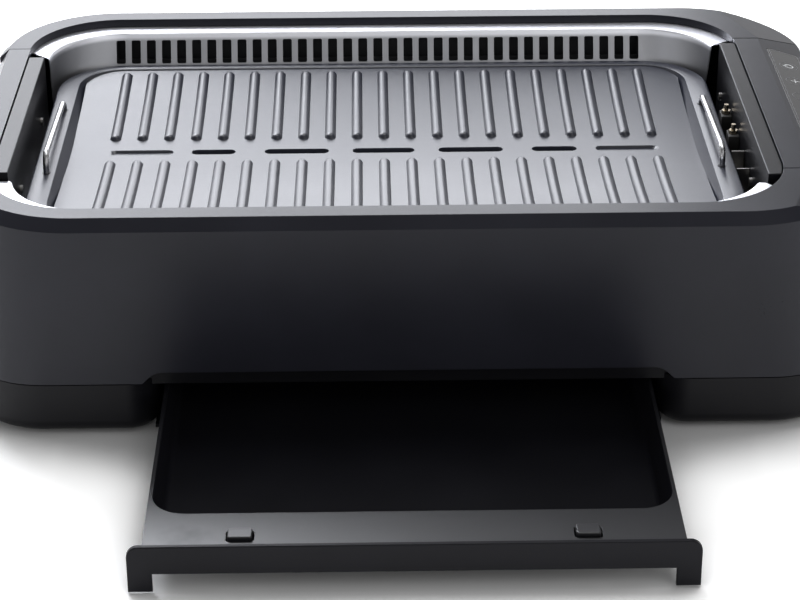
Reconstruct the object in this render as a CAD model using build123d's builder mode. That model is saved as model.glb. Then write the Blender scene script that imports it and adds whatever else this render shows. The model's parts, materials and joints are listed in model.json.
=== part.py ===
"""Smokeless electric grill: a countertop body with a lift-out ribbed plate, a fan that
draws the smoke through a slotted liner, and a drip tray that slides out at the front.

The frame is +X right, +Y back and +Z up. Its origin is the centre of the body's
footprint on the table. The tray stands pulled out, as the object was seen.
"""
from build123d import *
import math
import os

os.makedirs("parts", exist_ok=True)

# Body outline
body_width = 570.0
body_depth = 372.0
body_height = 150.0
body_corner = 80.0
rim_chamfer = 7.5
rim_chamfer_drop = 6.5
rim_depth = 5.5
wall = 3.0

# Seam between the housing and the base
seam_z = 38.0
seam_narrowing = 2.0
seam_corner = 55.0
seam_gap = 0.8
seat_gap = 0.3

# Well in the top, which sits left of the middle because of the controls
well_left_margin = 22.5
well_right_margin = 46.5
well_side_margin = 21.5
well_width = body_width - well_left_margin - well_right_margin
well_depth = body_depth - 2 * well_side_margin
well_x = (well_left_margin - well_right_margin) / 2
well_corner = 60.0

# End covers, with their seams set in from the body's front and rear
cover_drop = 88.0
left_cover_front_inset = 74.0
left_cover_rear_inset = 79.0
right_cover_inset = 71.0
cover_band = 17.0
cover_slope = 11.0
left_bevel_drop = 11.0
wrap_inset = 19.5
wrap_run = 56.5

# Side bars, with their ends set in from the body's front and rear
bar_wall = 2.5
left_bar_width = 11.5
left_bar_front_inset = 78.0
left_bar_rear_inset = 94.0
right_bar_width = 11.5
right_bar_front_inset = 64.0
right_bar_rear_inset = 79.0
bar_gap = 0.6
bar_drop = 0.6
bar_skirt = 14.0
bar_round = 0.8
side_screw_drop = 33.0
left_screw_insets = (46.0, 40.0)
right_screw_insets = (60.0, 21.0)

# Liner
sheet = 0.8
liner_floor_drop = 58.0
liner_lip = 11.5
liner_end_lip = 13.5
liner_corner = 52.0
liner_low_corner = 35.0
liner_side_draft = 23.0
liner_end_draft = 1.0
liner_end_gaps = (2.0, 10.0)
left_lip_skews = (0.0, 12.0)
right_lip_skews = (14.0, 10.0)
bar_tab_inset = 15.0
lip_tuck = 2.0
lip_roll = 2.5
drip_opening_width = 24.0
drip_opening_margin = 38.0

# Smoke slots in the liner's rear wall
smoke_slot_count = 35
smoke_slot_pitch = 11.0
smoke_slot_width = 6.6
smoke_slot_height = 15.6
smoke_slot_drop = 11.0
smoke_slot_offset = -4.0
smoke_slot_corner = 1.2

# Grill plate
plate_left_gap = 19.0
plate_right_gap = 21.0
plate_side_gap = 26.5
plate_width = well_width - plate_left_gap - plate_right_gap
plate_depth = well_depth - 2 * plate_side_gap
plate_x = well_x + (plate_left_gap - plate_right_gap) / 2
plate_corner = 46.0
plate_drop = 26.0
flange_thickness = 3.6
flange_round = 1.0
flange_end_width = 14.5
flange_side_width = 9.0
pan_width = plate_width - 2 * flange_end_width
pan_depth = plate_depth - 2 * flange_side_width
pan_corner = 30.0
pan_draft = 7.0
pan_wall = 6.0
floor_thickness = 5.0
floor_mid_drop = 9.0
floor_edge_drop = 0.7
plate_foot_diameter = 12.0
plate_foot_x = 150.0
plate_foot_y = 78.0

# Ribs of the plate
rib_count = 21
rib_pitch = 18.35
rib_width = 7.6
rib_height = 2.4
rib_round = 2.2
rib_root = 3.5
rib_near_y = 18.5
rib_end_margin = 6.0
rib_far_y = pan_depth / 2 - rib_end_margin

# Drip slots along the middle of the plate, as a middle X and a length from the plate's centre
slot_width = 8.0
slot_y = -1.3
drip_slots = ((-115.3, 29.7), (-59.1, 43.6), (-0.4, 42.0), (58.6, 43.7), (115.2, 30.6))
blind_grooves = ((-163.7, 42.7), (164.3, 42.0))
groove_depth = 1.6

# Wire handles
wire_diameter = 4.0
wire_length = 107.0
wire_front_rise = 12.5
wire_rear_rise = 7.0
wire_bend = 5.0
wire_edge_gap = 9.0
wire_hole_gap = 0.8
wire_head = 1.5

# Heating element
element_diameter = 6.5
element_rise = 11.5
element_bend = 18.0
element_left_margin = 31.5
element_right_margin = 32.5
element_side_margin = 33.0
element_inner_y = 50.0
terminal_rear_y = 36.0
terminal_front_y = 1.0
support_width = 6.0
support_length = 14.0
support_x = 110.0

# Terminals beside the plate
block_width = 12.0
block_depth = 7.2
block_rise = 6.0
block_height = 27.0
stud_diameter = 3.0
stud_height = 6.5
bracket_width = 8.6
bracket_y = -30.0
bracket_rise = 15.5
bracket_height = 17.5
bracket_foot = 23.0
bracket_front_drop = 2.0
bracket_thickness = 1.2
block_round = 0.8
stud_nut_width = 5.5
stud_nut_height = 2.4
plug_size = 11.0
plug_height = 14.0
plug_depth = 6.5
cutout_x = 60.0
cutout_diameter = 16.0
cutout_height = 7.0

# Base
foot_height = 2.5
foot_diameter = 16.0
foot_end_inset = 70.0
foot_side_inset = 66.0
foot_round = 0.8
base_floor = 2.5
base_wall = 2.8
base_round = 9.5
base_inset = 0.6
base_lip_thickness = 2.0
base_lip_height = 4.0

# Drawer bay and the arch above it
bay_gap = 3.7
bay_wall = 3.0
pillar_round = 20.0
pillar_depth = 34.0
bay_floor_inset = 10.0
arch_rise = 8.0
arch_margin = 5.0
arch_step = 4.0
arch_round = 12.0
crossbar_inset = 11.0
crossbar_thickness = 4.0
crossbar_end = 8.0
crossbar_gap = 3.5
crossbar_lap = 4.0

# Drip tray
tray_pull = 175.0
tray_half_width = 153.3
tray_length = 258.0
tray_front_inset = 4.0
tray_top_z = 30.0
tray_gap = 0.3
tray_wall = 2.2
tray_rim = 2.3
tray_draft = 4.5
tray_corner = 20.0
tray_floor_round = 4.0
tray_rear_gap = 2.0
deck_depth = 34.0
deck_thickness = 2.2
deck_skirt = 9.0
runner_width = 8.0
runner_height = 1.5
runner_inset = 43.3

# Drawer front
front_overhang = 8.7
front_thickness = 3.0
front_rise = 1.0
front_mid_z = 13.0
front_low_z = 1.2
front_leg = 14.0
front_corner = 7.0
front_edge_round = 0.8
hook_inset = 55.0
hook_width = 14.0
hook_depth = 10.0
hook_setback = 9.5
hook_rise = 2.6
hook_gap = 1.0
hook_arm = 3.0
hook_round = 1.6

# Touch panel and control board
panel_start = 3.5
panel_width = 22.5
panel_end_gap = 17.0
panel_end_skew = 7.5
panel_thickness = 1.4
panel_corner = 3.0
panel_gap = 0.2
board_thickness = 1.6
board_half_length = 75.0
board_width = 17.0
board_standoff = 2.5
standoff_diameter = 5.0

# Smoke fan
fan_offset = -1.0
fan_rear_inset = 58.0
scroll_low_z = 40.0
scroll_floor = 2.0
scroll_top_z = 69.7
scroll_radius = 50.0
scroll_wall = 2.0
scroll_margin = 2.0
scroll_post_inset = 6.0
scroll_post_diameter = 8.0
outlet_width = 36.0
impeller_radius = 42.0
impeller_eye = 28.0
impeller_low_z = 44.5
impeller_height = 21.0
impeller_plate = 1.5
blade_count = 24
blade_thickness = 1.4
blade_length = 13.0
blade_angle = 35.0
hub_radius = 7.0
hub_height = 14.0
shaft_radius = 2.0
shaft_clearance = 0.05
shaft_low_z = 14.0
shaft_top_z = 62.5
motor_radius = 21.0
motor_low_z = 10.0
motor_round = 3.0
scroll_screw_length = 8.0
nut_width = 7.0
nut_height = 3.0

# Smoke duct
duct_sheet = 1.5
duct_front_gap = 2.5
duct_rear_gap = 7.5
duct_top_drop = 9.0
duct_taper_drop = 34.0
duct_margin = 5.0
duct_chamber_gap = 2.0
duct_window_lap = 1.0

# Exhaust grille in the rear wall
grille_width = 60.0
grille_height = 24.0
grille_rise = 18.0
grille_flange = 4.0
grille_bar_pitch = 6.0
grille_bar = 2.2
grille_sheet = 2.2
grille_proud = 0.2

# Mains inlet and electronics
inlet_end_inset = 81.0
inlet_z = 22.5
inlet_width = 28.0
inlet_height = 20.0
inlet_depth = 26.0
inlet_face = 2.0
inlet_ear = 9.0
recess_width = 24.5
recess_height = 16.5
recess_depth = 17.0
recess_round = 2.0
blade_pin_width = 4.0
blade_pin_thickness = 2.0
blade_pin_length = 11.0
blade_pin_pitch = 7.0
blade_pin_drop = 2.0
power_board_inset = 70.0
power_board_width = 52.0
power_board_length = 110.0
power_board_z = 11.0
relay_size = 19.0
relay_depth = 15.2
relay_corner = 1.0
relay_height = 15.5
board_foot_inset = 4.0

# Screws and wires
screw_diameter = 4.0
screw_head_diameter = 7.0
screw_head_height = 2.6
screw_clearance = 0.1
head_clearance = 0.5
cross_length = 0.6
cross_width = 0.15
cross_depth = 0.5
post_diameter = 10.0
housing_post_diameter = 9.0
housing_post_inset = 32.0
post_joint_rise = 2.0
screw_length = 52.0
liner_post_gap = 3.0
liner_post_margin = 59.5
liner_screw_length = 14.0
screw_tip_gap = 1.0
small_screw_diameter = 3.0
small_head_diameter = 5.6
small_head_height = 1.6
lead_diameter = 3.0
lead_bend = 5.0
lead_inset = 6.0

# Places of the housing, the well and the covers
body_front_y = -body_depth / 2
body_rear_y = body_depth / 2
shoulder_z = body_height - rim_chamfer_drop
rim_under_z = body_height - rim_depth
seam_width = body_width - 2 * seam_narrowing
seam_depth = body_depth - 2 * seam_narrowing
well_left_x = well_x - well_width / 2
well_right_x = well_x + well_width / 2
cover_low_z = body_height - cover_drop
left_cover_front_y = body_front_y + left_cover_front_inset
left_cover_rear_y = body_rear_y - left_cover_rear_inset
right_cover_front_y = body_front_y + right_cover_inset
right_cover_rear_y = body_rear_y - right_cover_inset
panel_half_length = right_cover_rear_y - panel_end_gap

# Places of the side bars and the liner
left_bar_inner_x = well_left_x + left_bar_width
left_bar_front_y = body_front_y + left_bar_front_inset
left_bar_rear_y = body_rear_y - left_bar_rear_inset
right_bar_inner_x = well_right_x - right_bar_width
right_bar_front_y = body_front_y + right_bar_front_inset
right_bar_rear_y = body_rear_y - right_bar_rear_inset
left_screw_ys = (left_bar_front_y + left_screw_insets[0], left_bar_rear_y - left_screw_insets[1])
right_screw_ys = (right_bar_front_y + right_screw_insets[0], right_bar_rear_y - right_screw_insets[1])
side_screw_z = body_height - side_screw_drop
lip_top_z = rim_under_z - seat_gap
liner_width = well_width - 2 * liner_end_lip
liner_depth = well_depth - 2 * liner_lip
liner_floor_z = body_height - liner_floor_drop
liner_floor_top_z = liner_floor_z + sheet
drip_opening_length = plate_width - 2 * drip_opening_margin
smoke_slot_top_z = body_height - smoke_slot_drop
smoke_slot_x = well_x + smoke_slot_offset

# Places of the plate, the element and the terminals
plate_top_z = body_height - plate_drop
wire_offset = plate_width / 2 - wire_edge_gap
element_z = liner_floor_z + element_rise
element_left_x = plate_x - plate_width / 2 + element_left_margin
element_right_x = plate_x + plate_width / 2 - element_right_margin
element_cross_x = plate_x + blind_grooves[1][0]
element_far_y = plate_depth / 2 - element_side_margin
block_low_z = liner_floor_z + block_rise
block_top_z = block_low_z + block_height
block_face_x = right_bar_inner_x - block_depth
stud_x = right_bar_inner_x - block_depth / 2
bracket_low_z = liner_floor_z + bracket_rise
bracket_top_z = bracket_low_z + bracket_height

# Places of the base, the drawer and what stands on the base's floor
foot_x = body_width / 2 - foot_end_inset
foot_y = body_depth / 2 - foot_side_inset
floor_top_z = foot_height + base_floor
base_top_z = seam_z - seam_gap
base_lip_inset = wall + seat_gap
bay_half = tray_half_width + bay_gap
bay_floor_front_y = body_front_y + bay_floor_inset
arch_top_z = seam_z + arch_rise
arch_half_width = bay_half + arch_margin
crossbar_y = body_front_y + crossbar_inset
crossbar_low_z = tray_top_z + crossbar_gap
crossbar_top_z = arch_top_z + crossbar_lap
tray_floor_z = floor_top_z + runner_height + tray_gap
tray_front_y = body_front_y + tray_front_inset - tray_pull
tray_rear_y = tray_front_y + tray_length
runner_x = tray_half_width - runner_inset
front_half_width = tray_half_width + front_overhang
front_top_z = tray_top_z + front_rise
hook_x = tray_half_width - hook_inset
hook_y = tray_front_y + hook_setback
inlet_x = body_width / 2 - inlet_end_inset
power_board_x = body_width / 2 - power_board_inset
liner_post_x = bay_half + bay_wall + liner_post_gap + post_diameter / 2
liner_post_y = well_depth / 2 - liner_post_margin

# Places of the fan, the duct and the exhaust
fan_x = well_x + fan_offset
fan_y = body_rear_y - fan_rear_inset
outlet_x = fan_x - scroll_radius + outlet_width / 2
outlet_end_y = seam_depth / 2 - base_lip_inset - base_lip_thickness - seat_gap
slot_run = smoke_slot_pitch * (smoke_slot_count - 1) + smoke_slot_width
duct_front_y = liner_depth / 2 + duct_front_gap
duct_rear_y = seam_depth / 2 - duct_rear_gap
duct_top_z = body_height - duct_top_drop
duct_taper_z = body_height - duct_taper_drop
duct_width = slot_run + 2 * duct_margin
duct_chamber_top_z = liner_floor_z - duct_chamber_gap
duct_window_low_z = smoke_slot_top_z - smoke_slot_height - duct_window_lap
grille_x = outlet_x
grille_z = scroll_low_z + grille_rise
far = 400.0
touch = 0.1


def span_box(low, high, mode=Mode.ADD):
    """A box between two opposite corners."""
    middle = Vector(*[(a + b) / 2 for a, b in zip(low, high)])
    size = [b - a for a, b in zip(low, high)]
    with Locations(middle):
        Box(*size, mode=mode)


def finish(builder, name):
    """Label a finished sub-part and write its file."""
    builder.part.label = name
    export_step(builder.part, f"parts/{name}.step")


def body_form(inset, drop):
    """The body above the seam as a closed solid, drawn in by inset and lowered by drop at the top."""
    with BuildPart() as form:
        with BuildSketch(Plane.XY.offset(seam_z)):
            RectangleRounded(seam_width - 2 * inset, seam_depth - 2 * inset, seam_corner - inset)
        with BuildSketch(Plane.XY.offset(shoulder_z - drop)):
            RectangleRounded(body_width - 2 * inset, body_depth - 2 * inset, body_corner - inset)
        with BuildSketch(Plane.XY.offset(body_height - drop)):
            RectangleRounded(
                body_width - 2 * (rim_chamfer + inset),
                body_depth - 2 * (rim_chamfer + inset),
                body_corner - rim_chamfer - inset,
            )
        loft(ruled=True)
    return form.part


outer_form = body_form(0, 0)
inner_form = body_form(wall, rim_depth)


def cut_well():
    """Cut the well's outline through the rim."""
    with BuildSketch(Plane.XY.offset(rim_under_z - rim_depth)) as well:
        with Locations((well_x, 0)):
            RectangleRounded(well_width, well_depth, well_corner)
    extrude(well.sketch, amount=3 * rim_depth, mode=Mode.SUBTRACT)


def cover_zone(side, front_y, rear_y, clearance, mode):
    """The space of an end cover, drawn in by a clearance. Side is -1 for left and 1 for right."""
    inner_x = well_x + side * (well_width / 2 - rim_depth)
    low_x, high_x = sorted((inner_x, side * far))
    span_box(
        (low_x, front_y + clearance, cover_low_z + clearance),
        (high_x, rear_y - clearance, far),
        mode=mode,
    )


# Where the housing's posts and the base's posts meet
post_x = body_width / 2 - housing_post_inset
post_y = body_depth / 2 - housing_post_inset
housing_posts = [(sx * post_x, sy * post_y) for sx in (-1, 1) for sy in (-1, 1)]
liner_posts = [(sx * liner_post_x, sy * liner_post_y) for sx in (-1, 1) for sy in (-1, 1)]
post_joint_z = seam_z + post_joint_rise

# The right end's top slopes down outwards beyond a flat band, and the left end has a deeper bevel
slope_angle = math.radians(cover_slope)
slope_start_x = well_right_x + cover_band
slope_plane = Plane(
    origin=(slope_start_x, 0, body_height),
    x_dir=(math.cos(slope_angle), 0, -math.sin(slope_angle)),
    z_dir=(math.sin(slope_angle), 0, math.cos(slope_angle)),
)
left_bevel_plane = Plane(
    origin=(rim_chamfer - body_width / 2, 0, body_height),
    x_dir=(-rim_chamfer, 0, -left_bevel_drop),
    z_dir=(-left_bevel_drop, 0, rim_chamfer),
)


def wrap_plane(side):
    """The slope where it runs out round a right corner. Side is -1 for the front and 1 for the rear."""
    down = Vector(math.cos(slope_angle), 0, -math.sin(slope_angle))
    crease = Vector(-wrap_inset, side * wrap_run, 0)
    up = down.cross(crease) * side
    out = crease.cross(up) * side
    return Plane(origin=(slope_start_x, side * right_cover_rear_y, body_height), x_dir=out, z_dir=up)


def cut_above(plane):
    """Take away what stands above a plane, from its origin on along its X direction."""
    with BuildSketch(plane) as above:
        with Locations((far / 2, 0)):
            Rectangle(far, 2 * far)
    extrude(above.sketch, amount=far / 4, mode=Mode.SUBTRACT)


with BuildPart() as housing_cavity:
    add(inner_form)
    for side in (-1, 1):
        cut_above(wrap_plane(side).offset(-rim_depth))

# Upper housing: the slate-grey shell with the rim, the arched front edge and the rear window
with BuildPart() as upper_housing:
    add(outer_form)
    for side in (-1, 1):
        cut_above(wrap_plane(side))
    add(housing_cavity.part, mode=Mode.SUBTRACT)
    cut_well()
    cover_zone(-1, left_cover_front_y, left_cover_rear_y, 0, Mode.SUBTRACT)
    cover_zone(1, right_cover_front_y, right_cover_rear_y, 0, Mode.SUBTRACT)
    with BuildSketch(Plane.XZ):
        with BuildLine():
            Polyline(
                (-arch_half_width - arch_step, seam_z - far / 10),
                (-arch_half_width - arch_step, seam_z),
                (-arch_half_width + arch_step, arch_top_z),
                (arch_half_width - arch_step, arch_top_z),
                (arch_half_width + arch_step, seam_z),
                (arch_half_width + arch_step, seam_z - far / 10),
                close=True,
            )
        arch_face = make_face()
        fillet(arch_face.vertices().filter_by(lambda v: v.Y > arch_top_z - touch), arch_round)
    extrude(amount=far, mode=Mode.SUBTRACT)
    with BuildSketch(Plane.XZ):
        with Locations((grille_x, grille_z)):
            Rectangle(grille_width, grille_height)
    extrude(amount=-far, mode=Mode.SUBTRACT)
    with BuildSketch(Plane.XY.offset(post_joint_z)):
        with Locations(*housing_posts):
            Circle(housing_post_diameter / 2)
    extrude(amount=rim_under_z - post_joint_z + rim_depth / 3)
    with BuildSketch(Plane.XY.offset(post_joint_z)):
        with Locations(*housing_posts):
            Circle(screw_diameter / 2 + screw_clearance)
    extrude(amount=screw_length, mode=Mode.SUBTRACT)
finish(upper_housing, "upper_housing")

# Left end cover: the same shell between its two seams
with BuildPart() as left_end_cover:
    add(outer_form)
    cut_above(left_bevel_plane)
    add(inner_form, mode=Mode.SUBTRACT)
    cut_well()
    cover_zone(-1, left_cover_front_y, left_cover_rear_y, seam_gap, Mode.INTERSECT)
finish(left_end_cover, "left_end_cover")


def panel_outline(clearance):
    """The touch panel's outline on the slope: a bar whose outer corners follow the body's end."""
    near = panel_start - clearance
    out = panel_start + panel_width + clearance
    half = panel_half_length + clearance
    outer_half = half - panel_end_skew
    Polygon((near, -half), (out, -outer_half), (out, outer_half), (near, half), align=None)


with BuildPart() as right_cavity:
    add(inner_form)
    cut_above(slope_plane.offset(-rim_depth))

# Right end cover: the same shell with the sloped top, which holds the touch panel
with BuildPart() as right_end_cover:
    add(outer_form)
    cut_above(slope_plane)
    add(right_cavity.part, mode=Mode.SUBTRACT)
    cut_well()
    cover_zone(1, right_cover_front_y, right_cover_rear_y, seam_gap, Mode.INTERSECT)
    with BuildSketch(slope_plane) as pocket:
        panel_outline(panel_gap)
        fillet(pocket.vertices(), panel_corner + panel_gap)
    extrude(amount=-panel_thickness, mode=Mode.SUBTRACT)
    with BuildSketch(slope_plane.offset(-rim_depth - board_standoff)):
        with Locations((panel_start + panel_width / 2, 0)):
            with GridLocations(0, 2 * board_half_length - 2 * standoff_diameter, 1, 2):
                Circle(standoff_diameter / 2)
    extrude(amount=board_standoff + rim_depth / 2)
finish(right_end_cover, "right_end_cover")

# Touch panel: a thin glossy strip that fills the pocket
with BuildPart() as touch_panel:
    with BuildSketch(slope_plane.offset(-panel_thickness)) as panel_sketch:
        panel_outline(0)
        fillet(panel_sketch.vertices(), panel_corner)
    extrude(amount=panel_thickness)
finish(touch_panel, "touch_panel")

# Control board: hangs from the two standoffs under the panel
with BuildPart() as control_board:
    with BuildSketch(slope_plane.offset(-rim_depth - board_standoff - board_thickness)):
        with Locations((panel_start + panel_width / 2, 0)):
            Rectangle(board_width, 2 * board_half_length)
    extrude(amount=board_thickness)
finish(control_board, "control_board")

# Lower base: the black tub with screw posts, the drawer bay and the bar above it
base_width = seam_width - 2 * base_inset
base_depth = seam_depth - 2 * base_inset
base_corner = seam_corner - base_inset
base_front_y = -base_depth / 2
bay_rear_y = tray_rear_y + tray_pull + tray_rear_gap

with BuildPart() as base_cavity:
    with BuildSketch(Plane.XY.offset(floor_top_z)):
        RectangleRounded(base_width - 2 * base_wall, base_depth - 2 * base_wall, base_corner - base_wall)
    extrude(amount=seam_z)
    fillet(base_cavity.faces().sort_by(Axis.Z)[0].edges(), base_round - base_wall)
    span_box(
        (-bay_half - pillar_round - base_wall, -body_depth, 0),
        (bay_half + pillar_round + base_wall, base_front_y + pillar_depth, far),
        mode=Mode.SUBTRACT,
    )

board_foot_x = power_board_width / 2 - board_foot_inset
board_foot_y = power_board_length / 2 - board_foot_inset
board_feet = [(power_board_x + sx * board_foot_x, sy * board_foot_y) for sx in (-1, 1) for sy in (-1, 1)]
scroll_half = scroll_radius + scroll_margin
scroll_post_x = scroll_half - scroll_post_inset
scroll_post_y = scroll_post_x - scroll_margin
scroll_posts = [
    (fan_x - scroll_post_x, fan_y - scroll_post_y),
    (fan_x + scroll_post_x, fan_y - scroll_post_y),
    (fan_x + scroll_post_x, fan_y + scroll_post_y),
]

with BuildPart() as lower_base:
    with BuildSketch(Plane.XY.offset(foot_height)):
        RectangleRounded(base_width, base_depth, base_corner)
        with Locations((0, base_front_y)):
            Rectangle(2 * bay_half, 2 * pillar_depth, mode=Mode.SUBTRACT)
    extrude(amount=base_top_z - foot_height)
    fillet(
        lower_base.edges().filter_by(Axis.Z).filter_by(
            lambda e: abs(abs(e.center().X) - bay_half) < touch and e.center().Y < base_front_y + touch
        ),
        pillar_round,
    )
    fillet(lower_base.faces().sort_by(Axis.Z)[0].edges(), base_round)
    add(base_cavity.part, mode=Mode.SUBTRACT)
    # bay floor in front of the tub's own floor, and the bay's two side walls
    span_box(
        (-bay_half - bay_wall, bay_floor_front_y, foot_height),
        (bay_half + bay_wall, base_front_y + pillar_depth + base_round + bay_wall, floor_top_z),
    )
    for side in (-1, 1):
        low_x, high_x = sorted((side * bay_half, side * (bay_half + bay_wall)))
        span_box(
            (low_x, base_front_y + pillar_depth - bay_wall / 2, foot_height),
            (high_x, bay_rear_y, base_top_z),
        )
    # bar across the bay, behind the arch
    span_box(
        (-bay_half - crossbar_end, crossbar_y, crossbar_low_z),
        (bay_half + crossbar_end, crossbar_y + crossbar_thickness, crossbar_top_z),
    )
    # lip that locates the housing from inside
    with BuildSketch(Plane.XY.offset(base_top_z - base_lip_height)):
        lip_in = base_lip_inset + base_lip_thickness
        RectangleRounded(
            seam_width - 2 * base_lip_inset, seam_depth - 2 * base_lip_inset, seam_corner - base_lip_inset
        )
        RectangleRounded(
            seam_width - 2 * lip_in, seam_depth - 2 * lip_in, seam_corner - lip_in, mode=Mode.SUBTRACT
        )
        with Locations((0, -body_depth / 2)):
            Rectangle(2 * (arch_half_width + 3 * arch_step), body_depth / 2, mode=Mode.SUBTRACT)
    extrude(amount=2 * base_lip_height)
    # screw posts, fan posts and board standoffs
    with BuildSketch(Plane.XY.offset(foot_height)):
        with Locations(*housing_posts):
            Circle(post_diameter / 2)
    extrude(amount=post_joint_z - foot_height)
    with BuildSketch(Plane.XY.offset(foot_height)):
        with Locations(*housing_posts):
            Circle(screw_head_diameter / 2 + head_clearance)
    extrude(amount=base_floor + screw_head_height, mode=Mode.SUBTRACT)
    with BuildSketch(Plane.XY.offset(foot_height)):
        with Locations(*housing_posts):
            Circle(screw_diameter / 2 + screw_clearance)
    extrude(amount=post_joint_z, mode=Mode.SUBTRACT)
    with BuildSketch(Plane.XY.offset(foot_height)):
        with Locations(*liner_posts):
            Circle(post_diameter / 2)
    extrude(amount=liner_floor_z - foot_height)
    with BuildSketch(Plane.XY.offset(liner_floor_z - liner_screw_length)):
        with Locations(*liner_posts):
            Circle(screw_diameter / 2 + screw_clearance)
    extrude(amount=liner_screw_length, mode=Mode.SUBTRACT)
    with BuildSketch(Plane.XY.offset(foot_height)):
        with Locations(*scroll_posts):
            Circle(scroll_post_diameter / 2)
    extrude(amount=scroll_low_z - foot_height)
    with BuildSketch(Plane.XY.offset(scroll_low_z - scroll_screw_length)):
        with Locations(*scroll_posts):
            Circle(small_screw_diameter / 2 + screw_clearance)
    extrude(amount=scroll_screw_length, mode=Mode.SUBTRACT)
    with BuildSketch(Plane.XY.offset(foot_height)):
        with Locations(*board_feet):
            Circle(standoff_diameter / 2)
    extrude(amount=power_board_z - foot_height)
    # window for the mains inlet
    with BuildSketch(Plane.XZ):
        with Locations((inlet_x, inlet_z)):
            Rectangle(inlet_width + 2 * seat_gap, inlet_height + 2 * seat_gap)
    extrude(amount=-far, mode=Mode.SUBTRACT)
finish(lower_base, "lower_base")

# Rubber feet under the base
with BuildPart() as rubber_feet:
    with BuildSketch():
        with GridLocations(2 * foot_x, 2 * foot_y, 2, 2):
            Circle(foot_diameter / 2)
    extrude(amount=foot_height)
    fillet(rubber_feet.edges().group_by(Axis.Z)[0], foot_round)
finish(rubber_feet, "rubber_feet")


def liner_form(grow, low_z):
    """The liner's tub as a closed solid, from low_z up to the lip, grown outwards by grow."""
    share = (low_z - liner_floor_z) / (lip_top_z - liner_floor_z)
    with BuildPart() as form:
        with BuildSketch(Plane.XY.offset(low_z)):
            with Locations((well_x, 0)):
                RectangleRounded(
                    liner_width - 2 * liner_end_draft * (1 - share) + 2 * grow,
                    liner_depth - 2 * liner_side_draft * (1 - share) + 2 * grow,
                    liner_low_corner + (liner_corner - liner_low_corner) * share + grow,
                )
        with BuildSketch(Plane.XY.offset(lip_top_z)):
            with Locations((well_x, 0)):
                RectangleRounded(liner_width + 2 * grow, liner_depth + 2 * grow, liner_corner + grow)
        loft(ruled=True)
    return form.part


# Steel liner: a pressed tub with a wide lip under the rim and smoke slots in the rear wall
bar_ends = (
    (-1, left_bar_inner_x, left_bar_front_y, left_bar_rear_y, left_screw_ys),
    (1, right_bar_inner_x, right_bar_front_y, right_bar_rear_y, right_screw_ys),
)
lip_skews = (left_lip_skews, right_lip_skews)
liner_outside = liner_form(sheet, liner_floor_z)
liner_inside = liner_form(0, liner_floor_top_z)
with BuildPart() as steel_liner:
    add(liner_outside)
    with BuildSketch(Plane.XY.offset(lip_top_z - sheet)):
        with Locations((well_x, 0)):
            RectangleRounded(well_width + 2 * lip_tuck, well_depth + 2 * lip_tuck, well_corner + lip_tuck)
    extrude(amount=sheet)
    add(liner_inside, mode=Mode.SUBTRACT)
    lip_face = steel_liner.faces().sort_by(Axis.Z)[-1]
    fillet(lip_face.inner_wires()[0].edges(), lip_roll)
    # walls end beside the side bars, the lip's ends run out from there askew, and floor tabs carry the bars
    for (side, inner_x, front_y, rear_y, screw_ys), (front_skew, rear_skew) in zip(bar_ends, lip_skews):
        near_x = well_x + side * (liner_width / 2 - liner_corner / 2)
        wall_x = well_x + side * liner_width / 2
        edge_x = well_x + side * well_width / 2
        wall_front_y = front_y - liner_end_gaps[0]
        wall_rear_y = rear_y + liner_end_gaps[1]
        with BuildSketch(Plane.XY.offset(liner_floor_top_z)):
            Polygon(
                (near_x, wall_front_y),
                (wall_x, wall_front_y),
                (edge_x, wall_front_y - front_skew),
                (side * far, wall_front_y - front_skew),
                (side * far, wall_rear_y + rear_skew),
                (edge_x, wall_rear_y + rear_skew),
                (wall_x, wall_rear_y),
                (near_x, wall_rear_y),
                align=None,
            )
        extrude(amount=far, mode=Mode.SUBTRACT)
        low_x, high_x = sorted((near_x, edge_x - side * sheet))
        span_box(
            (low_x, front_y + bar_tab_inset, liner_floor_z),
            (high_x, rear_y - bar_tab_inset, liner_floor_top_z),
        )
    with BuildSketch(Plane.XZ):
        with Locations((smoke_slot_x, smoke_slot_top_z - smoke_slot_height / 2)):
            with GridLocations(smoke_slot_pitch, 0, smoke_slot_count, 1):
                RectangleRounded(smoke_slot_width, smoke_slot_height, smoke_slot_corner)
    extrude(amount=-far, mode=Mode.SUBTRACT)
    with BuildSketch(Plane.XY.offset(liner_floor_z - sheet)):
        with Locations((plate_x, 0)):
            SlotOverall(drip_opening_length, drip_opening_width)
        with Locations(*liner_posts):
            Circle(screw_diameter / 2 + screw_clearance)
    extrude(amount=3 * sheet, mode=Mode.SUBTRACT)
finish(steel_liner, "steel_liner")


def add_screws(seat, places, diameter, head_diameter, head_height, length):
    """Cross-head screws: heads stand on the seat plane and shanks run down from it."""
    with BuildSketch(seat) as heads:
        with Locations(*places):
            Circle(head_diameter / 2)
    extrude(heads.sketch, amount=head_height)
    with BuildSketch(seat.offset(head_height)) as crosses:
        with Locations(*places):
            Rectangle(cross_length * head_diameter, cross_width * head_diameter)
            Rectangle(cross_width * head_diameter, cross_length * head_diameter)
    extrude(crosses.sketch, amount=-cross_depth * head_height, mode=Mode.SUBTRACT)
    with BuildSketch(seat) as shanks:
        with Locations(*places):
            Circle(diameter / 2)
    extrude(shanks.sketch, amount=-length)


# Housing screws, driven up from below through the base's posts
housing_screw_seat = Plane(
    origin=(0, 0, floor_top_z + screw_head_height), x_dir=(1, 0, 0), z_dir=(0, 0, -1)
)
with BuildPart() as housing_screws:
    add_screws(
        housing_screw_seat,
        housing_posts,
        screw_diameter,
        screw_head_diameter,
        screw_head_height,
        screw_length,
    )
finish(housing_screws, "housing_screws")

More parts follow.
